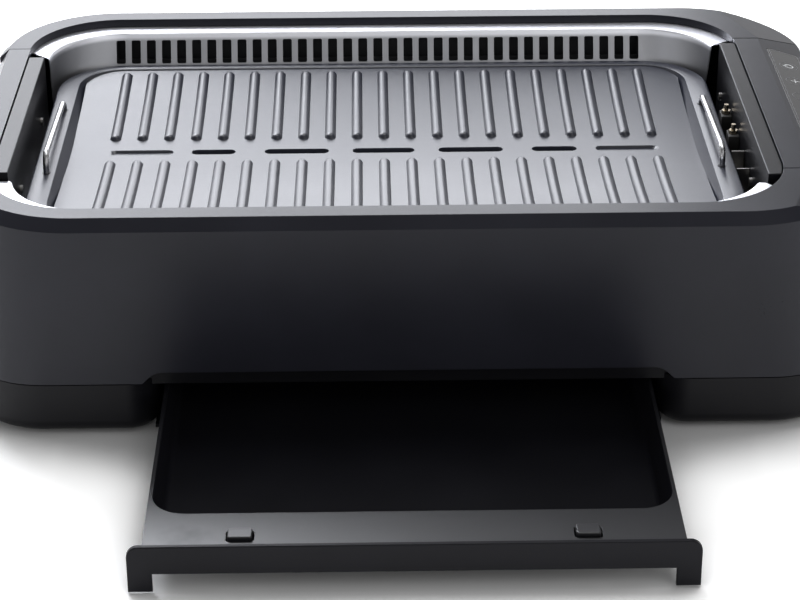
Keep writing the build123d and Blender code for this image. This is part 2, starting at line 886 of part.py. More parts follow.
# Liner screws, from the liner's floor down into the base's posts
with BuildPart() as liner_screws:
    add_screws(
        Plane.XY.offset(liner_floor_top_z),
        liner_posts,
        screw_diameter,
        screw_head_diameter,
        screw_head_height,
        liner_screw_length - screw_tip_gap,
    )
finish(liner_screws, "liner_screws")

# Side bars: channels that stand on the liner's floor tabs and close the well's two ends
bar_low_z = liner_floor_top_z + seat_gap
bar_top_z = body_height - bar_drop


def add_side_bar(side, inner_x, front_y, rear_y):
    """A bar as a channel that is open towards the body's end. Side is -1 for left and 1 for right."""
    outer_x = well_x + side * (well_width / 2 - bar_gap)
    low_x, high_x = sorted((inner_x, outer_x))
    span_box((low_x, front_y, bar_low_z), (high_x, rear_y, bar_top_z))
    inside_x = inner_x + side * bar_wall
    low_x, high_x = sorted((inside_x, outer_x - side * bar_wall))
    span_box(
        (low_x, front_y + bar_wall, bar_low_z + bar_wall),
        (high_x, rear_y - bar_wall, bar_top_z - bar_wall),
        mode=Mode.SUBTRACT,
    )
    low_x, high_x = sorted((inside_x, outer_x + side * bar_wall))
    span_box(
        (low_x, front_y + bar_wall, bar_low_z + bar_wall),
        (high_x, rear_y - bar_wall, bar_top_z - bar_skirt),
        mode=Mode.SUBTRACT,
    )
    with BuildSketch(Plane.XY.offset(bar_low_z)) as inside_well:
        with Locations((well_x, 0)):
            RectangleRounded(well_width - 2 * bar_gap, well_depth - 2 * bar_gap, well_corner - bar_gap)
    extrude(inside_well.sketch, amount=far, mode=Mode.INTERSECT)


def side_screw_plane(side, inner_x):
    """The bar's inner wall as a plane that faces the plate."""
    return Plane(origin=(inner_x, 0, side_screw_z), x_dir=(0, 1, 0), z_dir=(-side, 0, 0))


for side, inner_x, front_y, rear_y, screw_ys in bar_ends:
    with BuildPart() as side_bar:
        add_side_bar(side, inner_x, front_y, rear_y)
        fillet(side_bar.faces().sort_by(Axis.Z)[-1].edges(), bar_round)
        with BuildSketch(side_screw_plane(side, inner_x)):
            with Locations(*[(y, 0) for y in screw_ys]):
                Circle(small_screw_diameter / 2 + screw_clearance)
        extrude(amount=-bar_wall, mode=Mode.SUBTRACT)
    finish(side_bar, "left_side_bar" if side < 0 else "right_side_bar")

# Side bar screws, with their heads on the bars' inner walls
with BuildPart() as side_bar_screws:
    for side, inner_x, front_y, rear_y, screw_ys in bar_ends:
        add_screws(
            side_screw_plane(side, inner_x),
            [(y, 0) for y in screw_ys],
            small_screw_diameter,
            small_head_diameter,
            small_head_height,
            3 * bar_wall,
        )
finish(side_bar_screws, "side_bar_screws")

# Grill plate: a flange round a cooking floor that dips in a shallow arc to a middle line of drip slots
plate_low_z = plate_top_z - floor_mid_drop - floor_thickness
floor_bow = floor_mid_drop - floor_edge_drop
floor_radius = ((pan_depth / 2) ** 2 + floor_bow**2) / (2 * floor_bow)


def floor_z(y):
    """Height of the cooking floor at a distance y from the middle line."""
    return plate_top_z - floor_mid_drop + floor_radius - math.sqrt(floor_radius**2 - y**2)


def keep_above_arc(drop):
    """Keep what lies above the cooking floor's arc lowered by drop."""
    half = pan_depth / 2 + pan_wall
    with BuildSketch(Plane.YZ.offset(plate_x)) as region:
        with BuildLine():
            end_z = floor_z(half) - drop
            ThreePointArc((-half, end_z), (0, floor_z(0) - drop), (half, end_z))
            Polyline((half, end_z), (half, plate_top_z + far), (-half, plate_top_z + far), (-half, end_z))
        make_face()
    extrude(region.sketch, amount=plate_width, both=True, mode=Mode.INTERSECT)


with BuildPart() as pan_space:
    with BuildSketch(Plane.XY.offset(plate_low_z)):
        with Locations((plate_x, 0)):
            RectangleRounded(pan_width - 2 * pan_draft, pan_depth - pan_draft, pan_corner - pan_draft / 2)
    with BuildSketch(Plane.XY.offset(plate_top_z)):
        with Locations((plate_x, 0)):
            RectangleRounded(pan_width, pan_depth, pan_corner)
    loft(ruled=True)
    keep_above_arc(0)

with BuildPart() as pan_body:
    with BuildSketch(Plane.XY.offset(plate_low_z)):
        with Locations((plate_x, 0)):
            RectangleRounded(pan_width, pan_depth + pan_wall, pan_corner + pan_wall / 2)
    extrude(amount=plate_top_z - plate_low_z - flange_thickness / 2)
    keep_above_arc(floor_thickness)

with BuildPart() as rib:
    with BuildSketch(Plane.XY.offset(-rib_root)):
        SlotOverall(rib_far_y - rib_near_y, rib_width, rotation=90)
    extrude(amount=rib_root + rib_height)
    fillet(rib.faces().sort_by(Axis.Z)[-1].edges(), rib_round)

rib_mid_y = (rib_near_y + rib_far_y) / 2
rib_mid_z = (floor_z(rib_near_y) + floor_z(rib_far_y)) / 2
rib_rise = (floor_z(rib_far_y) - floor_z(rib_near_y)) / (rib_far_y - rib_near_y)

with BuildPart() as grill_plate:
    with BuildSketch(Plane.XY.offset(plate_top_z - flange_thickness)):
        with Locations((plate_x, 0)):
            RectangleRounded(plate_width, plate_depth, plate_corner)
    extrude(amount=flange_thickness)
    fillet(grill_plate.edges().group_by(Axis.Z)[-1], flange_round)
    add(pan_body.part)
    add(pan_space.part, mode=Mode.SUBTRACT)
    for side in (-1, 1):
        row = Plane(
            origin=(plate_x, side * rib_mid_y, rib_mid_z), x_dir=(1, 0, 0), z_dir=(0, -side * rib_rise, 1)
        )
        with Locations(row):
            with GridLocations(rib_pitch, 0, rib_count, 1):
                add(rib.part)
    for offset_x, length in drip_slots:
        with BuildSketch(Plane.XY.offset(plate_low_z - touch)):
            with Locations((plate_x + offset_x, slot_y)):
                SlotOverall(length, slot_width)
        extrude(amount=floor_thickness + floor_mid_drop, mode=Mode.SUBTRACT)
    for offset_x, length in blind_grooves:
        with BuildSketch(Plane.XY.offset(floor_z(0) - groove_depth)):
            with Locations((plate_x + offset_x, slot_y)):
                SlotOverall(length, slot_width)
        extrude(amount=floor_mid_drop, mode=Mode.SUBTRACT)
    # feet that stand on the liner's floor
    with BuildSketch(Plane.XY.offset(liner_floor_top_z)):
        with Locations((plate_x, 0)):
            with GridLocations(2 * plate_foot_x, 2 * plate_foot_y, 2, 2):
                Circle(plate_foot_diameter / 2)
    extrude(amount=floor_z(plate_foot_y) - floor_thickness / 2 - liner_floor_top_z)
    # holes for the handles' legs
    with BuildSketch(Plane.XY.offset(plate_top_z - flange_thickness)):
        with Locations((plate_x, 0)):
            with GridLocations(2 * wire_offset, wire_length, 2, 2):
                Circle(wire_diameter / 2 + wire_hole_gap)
    extrude(amount=flange_thickness, mode=Mode.SUBTRACT)
finish(grill_plate, "grill_plate")

# Wire handles: bent rods whose legs pass through the flange and end in upset heads under it
wire_foot_z = plate_top_z - flange_thickness
for side, name in ((-1, "left_handle"), (1, "right_handle")):
    handle_x = plate_x + side * wire_offset
    with BuildPart() as handle:
        with BuildLine() as wire_path:
            FilletPolyline(
                (handle_x, -wire_length / 2, wire_foot_z),
                (handle_x, -wire_length / 2, plate_top_z + wire_front_rise),
                (handle_x, wire_length / 2, plate_top_z + wire_rear_rise),
                (handle_x, wire_length / 2, wire_foot_z),
                radius=wire_bend,
            )
        with BuildSketch(Plane(origin=wire_path.line @ 0, z_dir=wire_path.line % 0)):
            Circle(wire_diameter / 2)
        sweep()
        with BuildSketch(Plane.XY.offset(wire_foot_z)):
            with Locations((handle_x, 0)):
                with GridLocations(0, wire_length, 1, 2):
                    Circle(wire_diameter / 2 + 2 * wire_hole_gap)
        extrude(amount=-wire_head)
    finish(handle, name)

# Heating element: one bent tube in four long runs that crosses under the right blank groove
with BuildPart() as heating_element:
    with BuildLine() as element_path:
        FilletPolyline(
            (block_face_x, terminal_rear_y, element_z),
            (element_right_x, terminal_rear_y, element_z),
            (element_right_x, element_far_y, element_z),
            (element_left_x, element_far_y, element_z),
            (element_left_x, element_inner_y, element_z),
            (element_cross_x, element_inner_y, element_z),
            (element_cross_x, -element_inner_y, element_z),
            (element_left_x, -element_inner_y, element_z),
            (element_left_x, -element_far_y, element_z),
            (element_right_x, -element_far_y, element_z),
            (element_right_x, terminal_front_y, element_z),
            (block_face_x, terminal_front_y, element_z),
            radius=element_bend,
        )
    with BuildSketch(Plane(origin=element_path.line @ 0, z_dir=element_path.line % 0)):
        Circle(element_diameter / 2)
    sweep()
finish(heating_element, "heating_element")

# Element supports: saddles on the liner's floor under the element's straight runs
support_places = [
    (plate_x + sx * support_x, y)
    for sx in (-1, 1)
    for y in (-element_far_y, -element_inner_y, element_inner_y, element_far_y)
]
with BuildPart() as element_supports:
    for x, y in support_places:
        span_box(
            (x - support_width / 2, y - support_length / 2, liner_floor_top_z),
            (x + support_width / 2, y + support_length / 2, element_z),
        )
        with BuildSketch(Plane.YZ.offset(x - support_width / 2)):
            with Locations((y, element_z)):
                Circle(element_diameter / 2 + seat_gap)
        extrude(amount=support_width, mode=Mode.SUBTRACT)
finish(element_supports, "element_supports")

# Terminal blocks on the right bar's inner wall, where the element's two ends arrive
terminal_ys = (terminal_front_y, terminal_rear_y)
with BuildPart() as terminal_blocks:
    for y in terminal_ys:
        span_box(
            (block_face_x, y - block_width / 2, block_low_z),
            (right_bar_inner_x, y + block_width / 2, block_top_z),
        )
    fillet(terminal_blocks.edges().group_by(Axis.Z)[-1], block_round)
finish(terminal_blocks, "terminal_blocks")

# Terminal studs with their nuts, on top of the blocks
with BuildPart() as terminal_studs:
    stud_places = [(stud_x, y) for y in terminal_ys]
    with BuildSketch(Plane.XY.offset(block_top_z)):
        with Locations(*stud_places):
            RegularPolygon(stud_nut_width / 2, 6, major_radius=False)
    extrude(amount=stud_nut_height)
    with BuildSketch(Plane.XY.offset(block_top_z)):
        with Locations(*stud_places):
            Circle(stud_diameter / 2)
    extrude(amount=stud_height)
finish(terminal_studs, "terminal_studs")

# Terminal plugs on the other side of the bar's wall
plug_low_x = right_bar_inner_x + bar_wall
with BuildPart() as terminal_plugs:
    for y in terminal_ys:
        span_box(
            (plug_low_x, y - plug_size / 2, block_low_z),
            (plug_low_x + plug_depth, y + plug_size / 2, block_low_z + plug_height),
        )
finish(terminal_plugs, "terminal_plugs")

# Probe bracket: a strip bent into a trough beside the plate, fixed to the right bar's inner wall
bracket_high_x = right_bar_inner_x - screw_clearance
with BuildPart() as probe_bracket:
    with BuildSketch(Plane.YZ.offset(bracket_high_x - bracket_width)):
        with BuildLine():
            FilletPolyline(
                (bracket_y, bracket_top_z),
                (bracket_y, bracket_low_z),
                (bracket_y - bracket_foot, bracket_low_z),
                (bracket_y - bracket_foot, bracket_top_z - bracket_front_drop),
                radius=2 * bracket_thickness,
            )
            offset(amount=bracket_thickness, side=Side.LEFT)
        make_face()
    extrude(amount=bracket_width)
finish(probe_bracket, "probe_bracket")

# Thermal cut-out: a disc under the liner's floor
with BuildPart() as thermal_cutout:
    with BuildSketch(Plane.XY.offset(liner_floor_z)):
        with Locations((cutout_x, element_inner_y)):
            Circle(cutout_diameter / 2)
    extrude(amount=-cutout_height / 2)
    with BuildSketch(Plane.XY.offset(liner_floor_z - cutout_height / 2)):
        with Locations((cutout_x, element_inner_y)):
            Circle(cutout_diameter / 3)
    extrude(amount=-cutout_height / 2)
finish(thermal_cutout, "thermal_cutout")

# Fan scroll: a floor plate and a spiral wall with an outlet towards the rear
with BuildPart() as fan_scroll:
    with BuildSketch(Plane.XY.offset(scroll_low_z)):
        with Locations((fan_x, fan_y)):
            RectangleRounded(2 * scroll_half, 2 * scroll_radius, post_diameter / 2)
            Circle(hub_radius, mode=Mode.SUBTRACT)
    extrude(amount=scroll_floor)
    with BuildSketch(Plane.XY.offset(scroll_low_z)):
        with Locations((fan_x, fan_y)):
            Circle(scroll_radius)
        outlet_length = outlet_end_y - fan_y
        with Locations((outlet_x, fan_y + outlet_length / 2)):
            Rectangle(outlet_width, outlet_length)
        with Locations((fan_x, fan_y)):
            Circle(scroll_radius - scroll_wall, mode=Mode.SUBTRACT)
        with Locations((outlet_x, fan_y + outlet_length / 2)):
            Rectangle(outlet_width - 2 * scroll_wall, outlet_length, mode=Mode.SUBTRACT)
    extrude(amount=scroll_top_z - scroll_low_z)
    with BuildSketch(Plane.XY.offset(scroll_low_z)):
        with Locations(*scroll_posts):
            Circle(small_screw_diameter / 2 + screw_clearance)
    extrude(amount=scroll_floor, mode=Mode.SUBTRACT)
finish(fan_scroll, "fan_scroll")

# Scroll screws into the base's fan posts
with BuildPart() as scroll_screws:
    add_screws(
        Plane.XY.offset(scroll_low_z + scroll_floor),
        scroll_posts,
        small_screw_diameter,
        small_head_diameter,
        small_head_height,
        scroll_screw_length,
    )
finish(scroll_screws, "scroll_screws")

# Fan motor: a can under the scroll's floor with a bore for the shaft
with BuildPart() as fan_motor:
    with BuildSketch(Plane.XY.offset(motor_low_z)):
        with Locations((fan_x, fan_y)):
            Circle(motor_radius)
    extrude(amount=scroll_low_z - motor_low_z)
    fillet(fan_motor.edges().group_by(Axis.Z)[0], motor_round)
    with BuildSketch(Plane.XY.offset(shaft_low_z - seat_gap)):
        with Locations((fan_x, fan_y)):
            Circle(shaft_radius + shaft_clearance)
    extrude(amount=scroll_low_z, mode=Mode.SUBTRACT)
finish(fan_motor, "fan_motor")

# Fan shaft
with BuildPart() as fan_shaft:
    with BuildSketch(Plane.XY.offset(shaft_low_z)):
        with Locations((fan_x, fan_y)):
            Circle(shaft_radius)
    extrude(amount=shaft_top_z - shaft_low_z)
finish(fan_shaft, "fan_shaft")

# Fan impeller: a plate with swept blades, a top ring and a hub
with BuildPart() as fan_impeller:
    with BuildSketch(Plane.XY.offset(impeller_low_z)):
        with Locations((fan_x, fan_y)):
            Circle(impeller_radius)
    extrude(amount=impeller_plate)
    with BuildSketch(Plane.XY.offset(impeller_low_z)):
        with Locations((fan_x, fan_y)):
            with PolarLocations(impeller_radius - blade_length / 2, blade_count):
                Rectangle(blade_length, blade_thickness, rotation=blade_angle)
    extrude(amount=impeller_height - impeller_plate / 2)
    with BuildSketch(Plane.XY.offset(impeller_low_z + impeller_height - impeller_plate)):
        with Locations((fan_x, fan_y)):
            Circle(impeller_radius)
            Circle(impeller_eye, mode=Mode.SUBTRACT)
    extrude(amount=impeller_plate)
    with BuildSketch(Plane.XY.offset(impeller_low_z)):
        with Locations((fan_x, fan_y)):
            Circle(hub_radius)
    extrude(amount=hub_height)
    with BuildSketch(Plane.XY.offset(impeller_low_z)):
        with Locations((fan_x, fan_y)):
            Circle(shaft_radius + shaft_clearance)
    extrude(amount=impeller_height, mode=Mode.SUBTRACT)
finish(fan_impeller, "fan_impeller")

# Impeller nut on the shaft's end
with BuildPart() as impeller_nut:
    with BuildSketch(Plane.XY.offset(impeller_low_z + hub_height)):
        with Locations((fan_x, fan_y)):
            RegularPolygon(nut_width / 2, 6, major_radius=False)
            Circle(shaft_radius + shaft_clearance, mode=Mode.SUBTRACT)
    extrude(amount=nut_height)
finish(impeller_nut, "impeller_nut")

# Smoke duct: a hopper behind the liner's slots that leads down to the fan's eye
duct_x = smoke_slot_x
duct_low_z = scroll_top_z + seat_gap


def add_duct_form(skin, mode):
    """The duct as a closed form, drawn in by skin: a hopper along the rear and a chamber over the fan."""
    half_top = duct_width / 2 - skin
    half_low = scroll_half - skin
    with BuildSketch(Plane.XZ.offset(-duct_front_y - skin)) as hopper:
        Polygon(
            (duct_x - half_top, duct_top_z - skin),
            (duct_x - half_top, duct_taper_z),
            (fan_x - half_low, duct_low_z + skin),
            (fan_x + half_low, duct_low_z + skin),
            (duct_x + half_top, duct_taper_z),
            (duct_x + half_top, duct_top_z - skin),
            align=None,
        )
    extrude(hopper.sketch, amount=-(duct_rear_y - duct_front_y - 2 * skin), mode=mode)
    span_box(
        (fan_x - half_low, fan_y - half_low, duct_low_z + skin),
        (fan_x + half_low, duct_rear_y - skin, duct_chamber_top_z - skin),
        mode=mode,
    )


with BuildPart() as smoke_duct:
    add_duct_form(0, Mode.ADD)
    add_duct_form(duct_sheet, Mode.SUBTRACT)
    span_box(
        (smoke_slot_x - slot_run / 2, duct_front_y - duct_sheet, duct_window_low_z),
        (smoke_slot_x + slot_run / 2, duct_front_y + 2 * duct_sheet, smoke_slot_top_z),
        mode=Mode.SUBTRACT,
    )
    with BuildSketch(Plane.XY.offset(duct_low_z)):
        with Locations((fan_x, fan_y)):
            Circle(impeller_eye)
    extrude(amount=duct_sheet, mode=Mode.SUBTRACT)
finish(smoke_duct, "smoke_duct")

# Exhaust grille: a frame with upright bars, snapped into the housing's rear window
grille_rear_y = seam_depth / 2 + grille_proud
with BuildPart() as exhaust_grille:
    with BuildSketch(Plane.XZ.offset(-outlet_end_y - seat_gap)):
        with Locations((grille_x, grille_z)):
            Rectangle(grille_width + 2 * grille_flange, grille_height + 2 * grille_flange)
    extrude(amount=-grille_sheet)
    with BuildSketch(Plane.XZ.offset(-outlet_end_y - seat_gap)):
        with Locations((grille_x, grille_z)):
            Rectangle(grille_width - 2 * seat_gap, grille_height - 2 * seat_gap)
    extrude(amount=-(grille_rear_y - outlet_end_y - seat_gap))
    with BuildSketch(Plane.XZ.offset(-outlet_end_y)):
        with Locations((grille_x, grille_z)):
            grille_gaps = int((grille_width - 2 * grille_bar) / grille_bar_pitch)
            with GridLocations(grille_bar_pitch, 0, grille_gaps, 1):
                Rectangle(grille_bar_pitch - grille_bar, grille_height - 2 * grille_bar)
    extrude(amount=-far / 10, mode=Mode.SUBTRACT)
finish(exhaust_grille, "exhaust_grille")

# Mains inlet: a socket in the base's rear wall with a recess for a plug
inlet_rear_y = base_depth / 2
inlet_wall_y = inlet_rear_y - base_wall
inlet_low_z = inlet_z - inlet_height / 2
inlet_top_z = inlet_z + inlet_height / 2
inlet_ear_x = inlet_width / 2 + inlet_ear
with BuildPart() as mains_inlet:
    span_box(
        (inlet_x - inlet_width / 2, inlet_rear_y - inlet_depth, inlet_low_z),
        (inlet_x + inlet_width / 2, inlet_rear_y, inlet_top_z),
    )
    span_box(
        (inlet_x - inlet_ear_x, inlet_wall_y - inlet_face, inlet_low_z),
        (inlet_x + inlet_ear_x, inlet_wall_y, inlet_top_z),
    )
    with BuildSketch(Plane.XZ.offset(-inlet_rear_y)):
        with Locations((inlet_x, inlet_z)):
            RectangleRounded(recess_width, recess_height, recess_round)
    extrude(amount=recess_depth, mode=Mode.SUBTRACT)
finish(mains_inlet, "mains_inlet")

# Inlet blades: three upright contacts that stand on the recess's floor
blade_root_y = inlet_rear_y - recess_depth
blade_low_z = inlet_z - blade_pin_drop
with BuildPart() as inlet_blades:
    with BuildSketch(Plane.XZ.offset(-blade_root_y)):
        with Locations(
            (inlet_x - blade_pin_pitch, blade_low_z),
            (inlet_x, inlet_z + blade_pin_drop),
            (inlet_x + blade_pin_pitch, blade_low_z),
        ):
            Rectangle(blade_pin_thickness, blade_pin_width)
    extrude(amount=-blade_pin_length)
finish(inlet_blades, "inlet_blades")

# Power board with its relay
with BuildPart() as power_board:
    with BuildSketch(Plane.XY.offset(power_board_z)):
        with Locations((power_board_x, 0)):
            Rectangle(power_board_width, power_board_length)
    extrude(amount=board_thickness)
finish(power_board, "power_board")

board_top_z = power_board_z + board_thickness
with BuildPart() as power_relay:
    with BuildSketch(Plane.XY.offset(board_top_z)):
        with Locations((power_board_x, 0)):
            RectangleRounded(relay_size, relay_depth, relay_corner)
    extrude(amount=relay_height)
finish(power_relay, "power_relay")

# Leads, each a round wire along straight runs with bends between them
board_edge_y = power_board_length / 2 - lead_inset


def add_lead(*points):
    """A round wire through the given points, with bends of one radius."""
    with BuildLine() as lead_path:
        FilletPolyline(*points, radius=lead_bend)
    with BuildSketch(Plane(origin=lead_path.line @ 0, z_dir=lead_path.line % 0)) as lead_section:
        Circle(lead_diameter / 2)
    sweep(lead_section.sketch, path=lead_path.line)


plug_end_x = plug_low_x + plug_depth
plug_mid_z = block_low_z + plug_height / 2
lead_drop_x = plug_end_x + 3 * lead_bend
with BuildPart() as element_leads:
    for y, end_x in zip(terminal_ys, (power_board_x + relay_size, power_board_x)):
        add_lead(
            (plug_end_x, y, plug_mid_z),
            (lead_drop_x, y, plug_mid_z),
            (lead_drop_x, y, plug_mid_z / 2),
            (end_x, board_edge_y - y / 4, plug_mid_z / 3),
            (end_x, board_edge_y - y / 4, board_top_z),
        )
finish(element_leads, "element_leads")

with BuildPart() as mains_lead:
    add_lead(
        (inlet_x, inlet_rear_y - inlet_depth, inlet_z),
        (inlet_x, board_edge_y, inlet_z),
        (inlet_x, board_edge_y, board_top_z),
    )
finish(mains_lead, "mains_lead")

with BuildPart() as fan_lead:
    lead_x = power_board_x - power_board_width / 2 + lead_inset
    add_lead(
        (fan_x + motor_radius, fan_y, inlet_z),
        (lead_x, fan_y, inlet_z),
        (lead_x, board_edge_y, inlet_z),
        (lead_x, board_edge_y, board_top_z),
    )
finish(fan_lead, "fan_lead")

# Tray runners: two slippery strips on the base's floor
with BuildPart() as tray_runners:
    for side in (-1, 1):
        span_box(
            (side * runner_x - runner_width / 2, bay_floor_front_y, floor_top_z),
            (side * runner_x + runner_width / 2, bay_rear_y - runner_width, floor_top_z + runner_height),
        )
finish(tray_runners, "tray_runners")

# Drip tray: a rounded pan with a thin rim and a deck at the front
pan_front_y = tray_front_y + deck_depth
pan_mid_y = (pan_front_y + tray_rear_y - tray_rim) / 2
pan_length = tray_rear_y - tray_rim - pan_front_y
pan_half = tray_half_width - tray_rim


def add_pan(grow, low_z, high_z, mode):
    """The tray's pan between two heights, grown outwards by grow."""
    with BuildSketch(Plane.XY.offset(low_z)) as low_face:
        with Locations((0, pan_mid_y)):
            RectangleRounded(
                2 * (pan_half - tray_draft + grow),
                pan_length - 2 * tray_draft + 2 * grow,
                tray_corner - tray_draft + grow,
            )
    with BuildSketch(Plane.XY.offset(high_z)) as high_face:
        with Locations((0, pan_mid_y)):
            RectangleRounded(2 * (pan_half + grow), pan_length + 2 * grow, tray_corner + grow)
    loft([low_face.sketch, high_face.sketch], ruled=True, mode=mode)


with BuildPart() as tray_hollow:
    add_pan(0, tray_floor_z + tray_wall, tray_top_z, Mode.ADD)
    fillet(tray_hollow.faces().sort_by(Axis.Z)[0].edges(), tray_floor_round)

with BuildPart() as drip_tray:
    add_pan(tray_rim, tray_floor_z, tray_top_z, Mode.ADD)
    # deck, with skirts down its two sides
    with BuildSketch(Plane.XY.offset(tray_top_z - deck_thickness)):
        with Locations((0, tray_front_y + deck_depth)):
            Rectangle(2 * tray_half_width, 2 * deck_depth)
    extrude(amount=deck_thickness)
    for side in (-1, 1):
        low_x, high_x = sorted((side * tray_half_width, side * (tray_half_width - tray_wall)))
        span_box(
            (low_x, tray_front_y, tray_top_z - deck_skirt),
            (high_x, tray_front_y + 2 * deck_depth, tray_top_z),
        )
    add(tray_hollow.part, mode=Mode.SUBTRACT)
    with BuildSketch(Plane.XY.offset(tray_top_z)):
        with Locations((-hook_x, hook_y), (hook_x, hook_y)):
            RectangleRounded(hook_width + 2 * hook_gap, hook_depth + 2 * hook_gap, hook_gap + hook_round)
    extrude(amount=-deck_thickness, mode=Mode.SUBTRACT)
finish(drip_tray, "drip_tray")

# Drawer front: a plate on two legs, with hooks that rise through the deck
with BuildPart() as drawer_front:
    with BuildSketch(Plane.XZ.offset(-tray_front_y)):
        with BuildLine():
            Polyline(
                (-front_half_width, front_low_z),
                (-front_half_width, front_top_z),
                (front_half_width, front_top_z),
                (front_half_width, front_low_z),
                (front_half_width - front_leg, front_low_z),
                (front_half_width - front_leg, front_mid_z),
                (-front_half_width + front_leg, front_mid_z),
                (-front_half_width + front_leg, front_low_z),
                close=True,
            )
        front_face = make_face()
        fillet(front_face.vertices().filter_by(lambda v: v.Y > front_top_z - touch), front_corner)
    extrude(amount=front_thickness)
    fillet(drawer_front.faces().sort_by(Axis.Y)[0].edges(), front_edge_round)
    for side in (-1, 1):
        deck_under_z = tray_top_z - deck_thickness
        arm_top_z = deck_under_z - seat_gap
        span_box(
            (side * hook_x - hook_width / 2, tray_front_y - front_thickness / 2, arm_top_z - hook_arm),
            (side * hook_x + hook_width / 2, hook_y + hook_depth / 2, arm_top_z),
        )
        with BuildSketch(Plane.XY.offset(deck_under_z - hook_arm)):
            with Locations((side * hook_x, hook_y)):
                RectangleRounded(hook_width, hook_depth, hook_round)
        extrude(amount=hook_arm + deck_thickness + hook_rise)
    fillet(drawer_front.edges().group_by(Axis.Z)[-1], hook_round / 2)
finish(drawer_front, "drawer_front")
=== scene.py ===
"""Smokeless electric grill: visible surfaces and finishes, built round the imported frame."""

import json

import bmesh
import bpy
import numpy as np
from mathutils import Matrix, Vector


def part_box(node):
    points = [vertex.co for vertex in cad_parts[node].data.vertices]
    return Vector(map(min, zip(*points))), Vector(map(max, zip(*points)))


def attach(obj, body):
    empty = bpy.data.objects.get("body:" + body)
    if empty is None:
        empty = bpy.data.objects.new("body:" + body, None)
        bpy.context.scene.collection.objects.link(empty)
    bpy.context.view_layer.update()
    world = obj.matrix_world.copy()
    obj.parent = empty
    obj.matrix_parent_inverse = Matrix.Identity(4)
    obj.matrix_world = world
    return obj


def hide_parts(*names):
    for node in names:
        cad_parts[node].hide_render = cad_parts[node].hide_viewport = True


bl_info = {
    "name": "Smokeless electric grill",
    "version": (1, 0, 0),
    "blender": (4, 5, 0),
    "location": "View3D > Sidebar > Grill",
    "description": "Builds the visible surfaces, finishes, light and camera of a smokeless electric grill",
    "category": "Object",
}

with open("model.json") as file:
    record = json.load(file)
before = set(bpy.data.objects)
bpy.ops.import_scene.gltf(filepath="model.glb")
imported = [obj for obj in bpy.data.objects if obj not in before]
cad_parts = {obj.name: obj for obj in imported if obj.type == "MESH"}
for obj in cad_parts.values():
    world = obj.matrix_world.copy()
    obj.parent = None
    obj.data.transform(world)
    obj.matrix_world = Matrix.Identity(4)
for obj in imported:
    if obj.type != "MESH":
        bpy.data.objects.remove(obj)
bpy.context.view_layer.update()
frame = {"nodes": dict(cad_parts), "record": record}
MM = 0.001


class Signal:
    """A node socket that takes part in Python sums. Each sum adds its Math node."""

    def __init__(self, graph, socket):
        self.graph = graph
        self.socket = socket

    def maths(self, operation, *values, clamp=False):
        settings = {"operation": operation, "use_clamp": clamp}
        return self.graph.node("ShaderNodeMath", settings, dict(enumerate(values)))

    def __add__(self, other):
        return self.maths("ADD", self, other)

    __radd__ = __add__

    def __sub__(self, other):
        return self.maths("SUBTRACT", self, other)

    def __rsub__(self, other):
        return self.maths("SUBTRACT", other, self)

    def __mul__(self, other):
        return self.maths("MULTIPLY", self, other)

    __rmul__ = __mul__

    def __gt__(self, other):
        return self.maths("GREATER_THAN", self, other)

    def clamped(self):
        return self.maths("ADD", self, 0.0, clamp=True)

    def fade(self, low, high):
        """0 below low and 1 above high, with a smooth step between them."""
        sockets = {"Value": self, "From Min": low, "From Max": high}
        return self.graph.node("ShaderNodeMapRange", {"interpolation_type": "SMOOTHSTEP"}, sockets)


# Keeps the names of these materials apart from those of the frame
FINISH_MARK = "_finish"


class Finish:
    """A procedural material: one Principled shader and the nodes that vary it."""

    def __init__(self, name):
        self.material = bpy.data.materials.new(name + FINISH_MARK)
        self.material.use_nodes = True
        self.tree = self.material.node_tree
        self.shader = self.tree.nodes["Principled BSDF"]
        self.place = self.node("ShaderNodeTexCoord", output="Object")

    def put(self, node, sockets):
        for key, value in sockets.items():
            target = node.inputs[key]
            if isinstance(value, Signal):
                self.tree.links.new(value.socket, target)
            else:
                target.default_value = value

    def node(self, kind, settings=None, sockets=None, output=0):
        """Adds a node, with its settings first and then the values or links of its sockets."""
        made = self.tree.nodes.new(kind)
        for key, value in (settings or {}).items():
            setattr(made, key, value)
        self.put(made, sockets or {})
        return Signal(self, made.outputs[output])

    def stretched(self, scale):
        """Object coordinates stretched by a scale along each axis."""
        return self.node("ShaderNodeMapping", {}, {"Vector": self.place, "Scale": scale})

    def noise(self, scale, detail=3.0, roughness=0.55, vector=None):
        sockets = {"Vector": vector or self.place, "Scale": scale, "Detail": detail, "Roughness": roughness}
        return self.node("ShaderNodeTexNoise", {}, sockets)

    def mix(self, factor, first, second):
        """A blend of two colours, by the numbers of a Mix node's colour sockets."""
        sockets = {0: factor, 6: colour(first), 7: colour(second)}
        return self.node("ShaderNodeMix", {"data_type": "RGBA"}, sockets, 2)

    def coordinate(self, axis):
        """How far a point lies along one axis, in metres."""
        return self.node("ShaderNodeSeparateXYZ", {}, {"Vector": self.place}, axis)

    def shaded(self, base, noise, span, factors):
        """The base times the first factor where the noise is below the span, and times the second above it."""
        return self.mix(noise.fade(*span), tint(base, factors[0]), tint(base, factors[1]))

    def varied(self, middle, *swings):
        """A value that swings round its middle. Each swing is a noise and how far it moves the value."""
        for noise, reach in swings:
            middle = middle + (noise - 0.5) * reach
        return middle

    def bump(self, height, strength, distance):
        normal = self.node("ShaderNodeBump", {}, {"Height": height, "Strength": strength, "Distance": distance})
        self.put(self.shader, {"Normal": normal})

    def set(self, **sockets):
        self.put(self.shader, {key.replace("_", " "): value for key, value in sockets.items()})
        return self.material


def colour(value):
    """Red, green and blue as a socket's four numbers; a signal stays as it is."""
    return value if isinstance(value, Signal) else (*value[:3], 1.0)


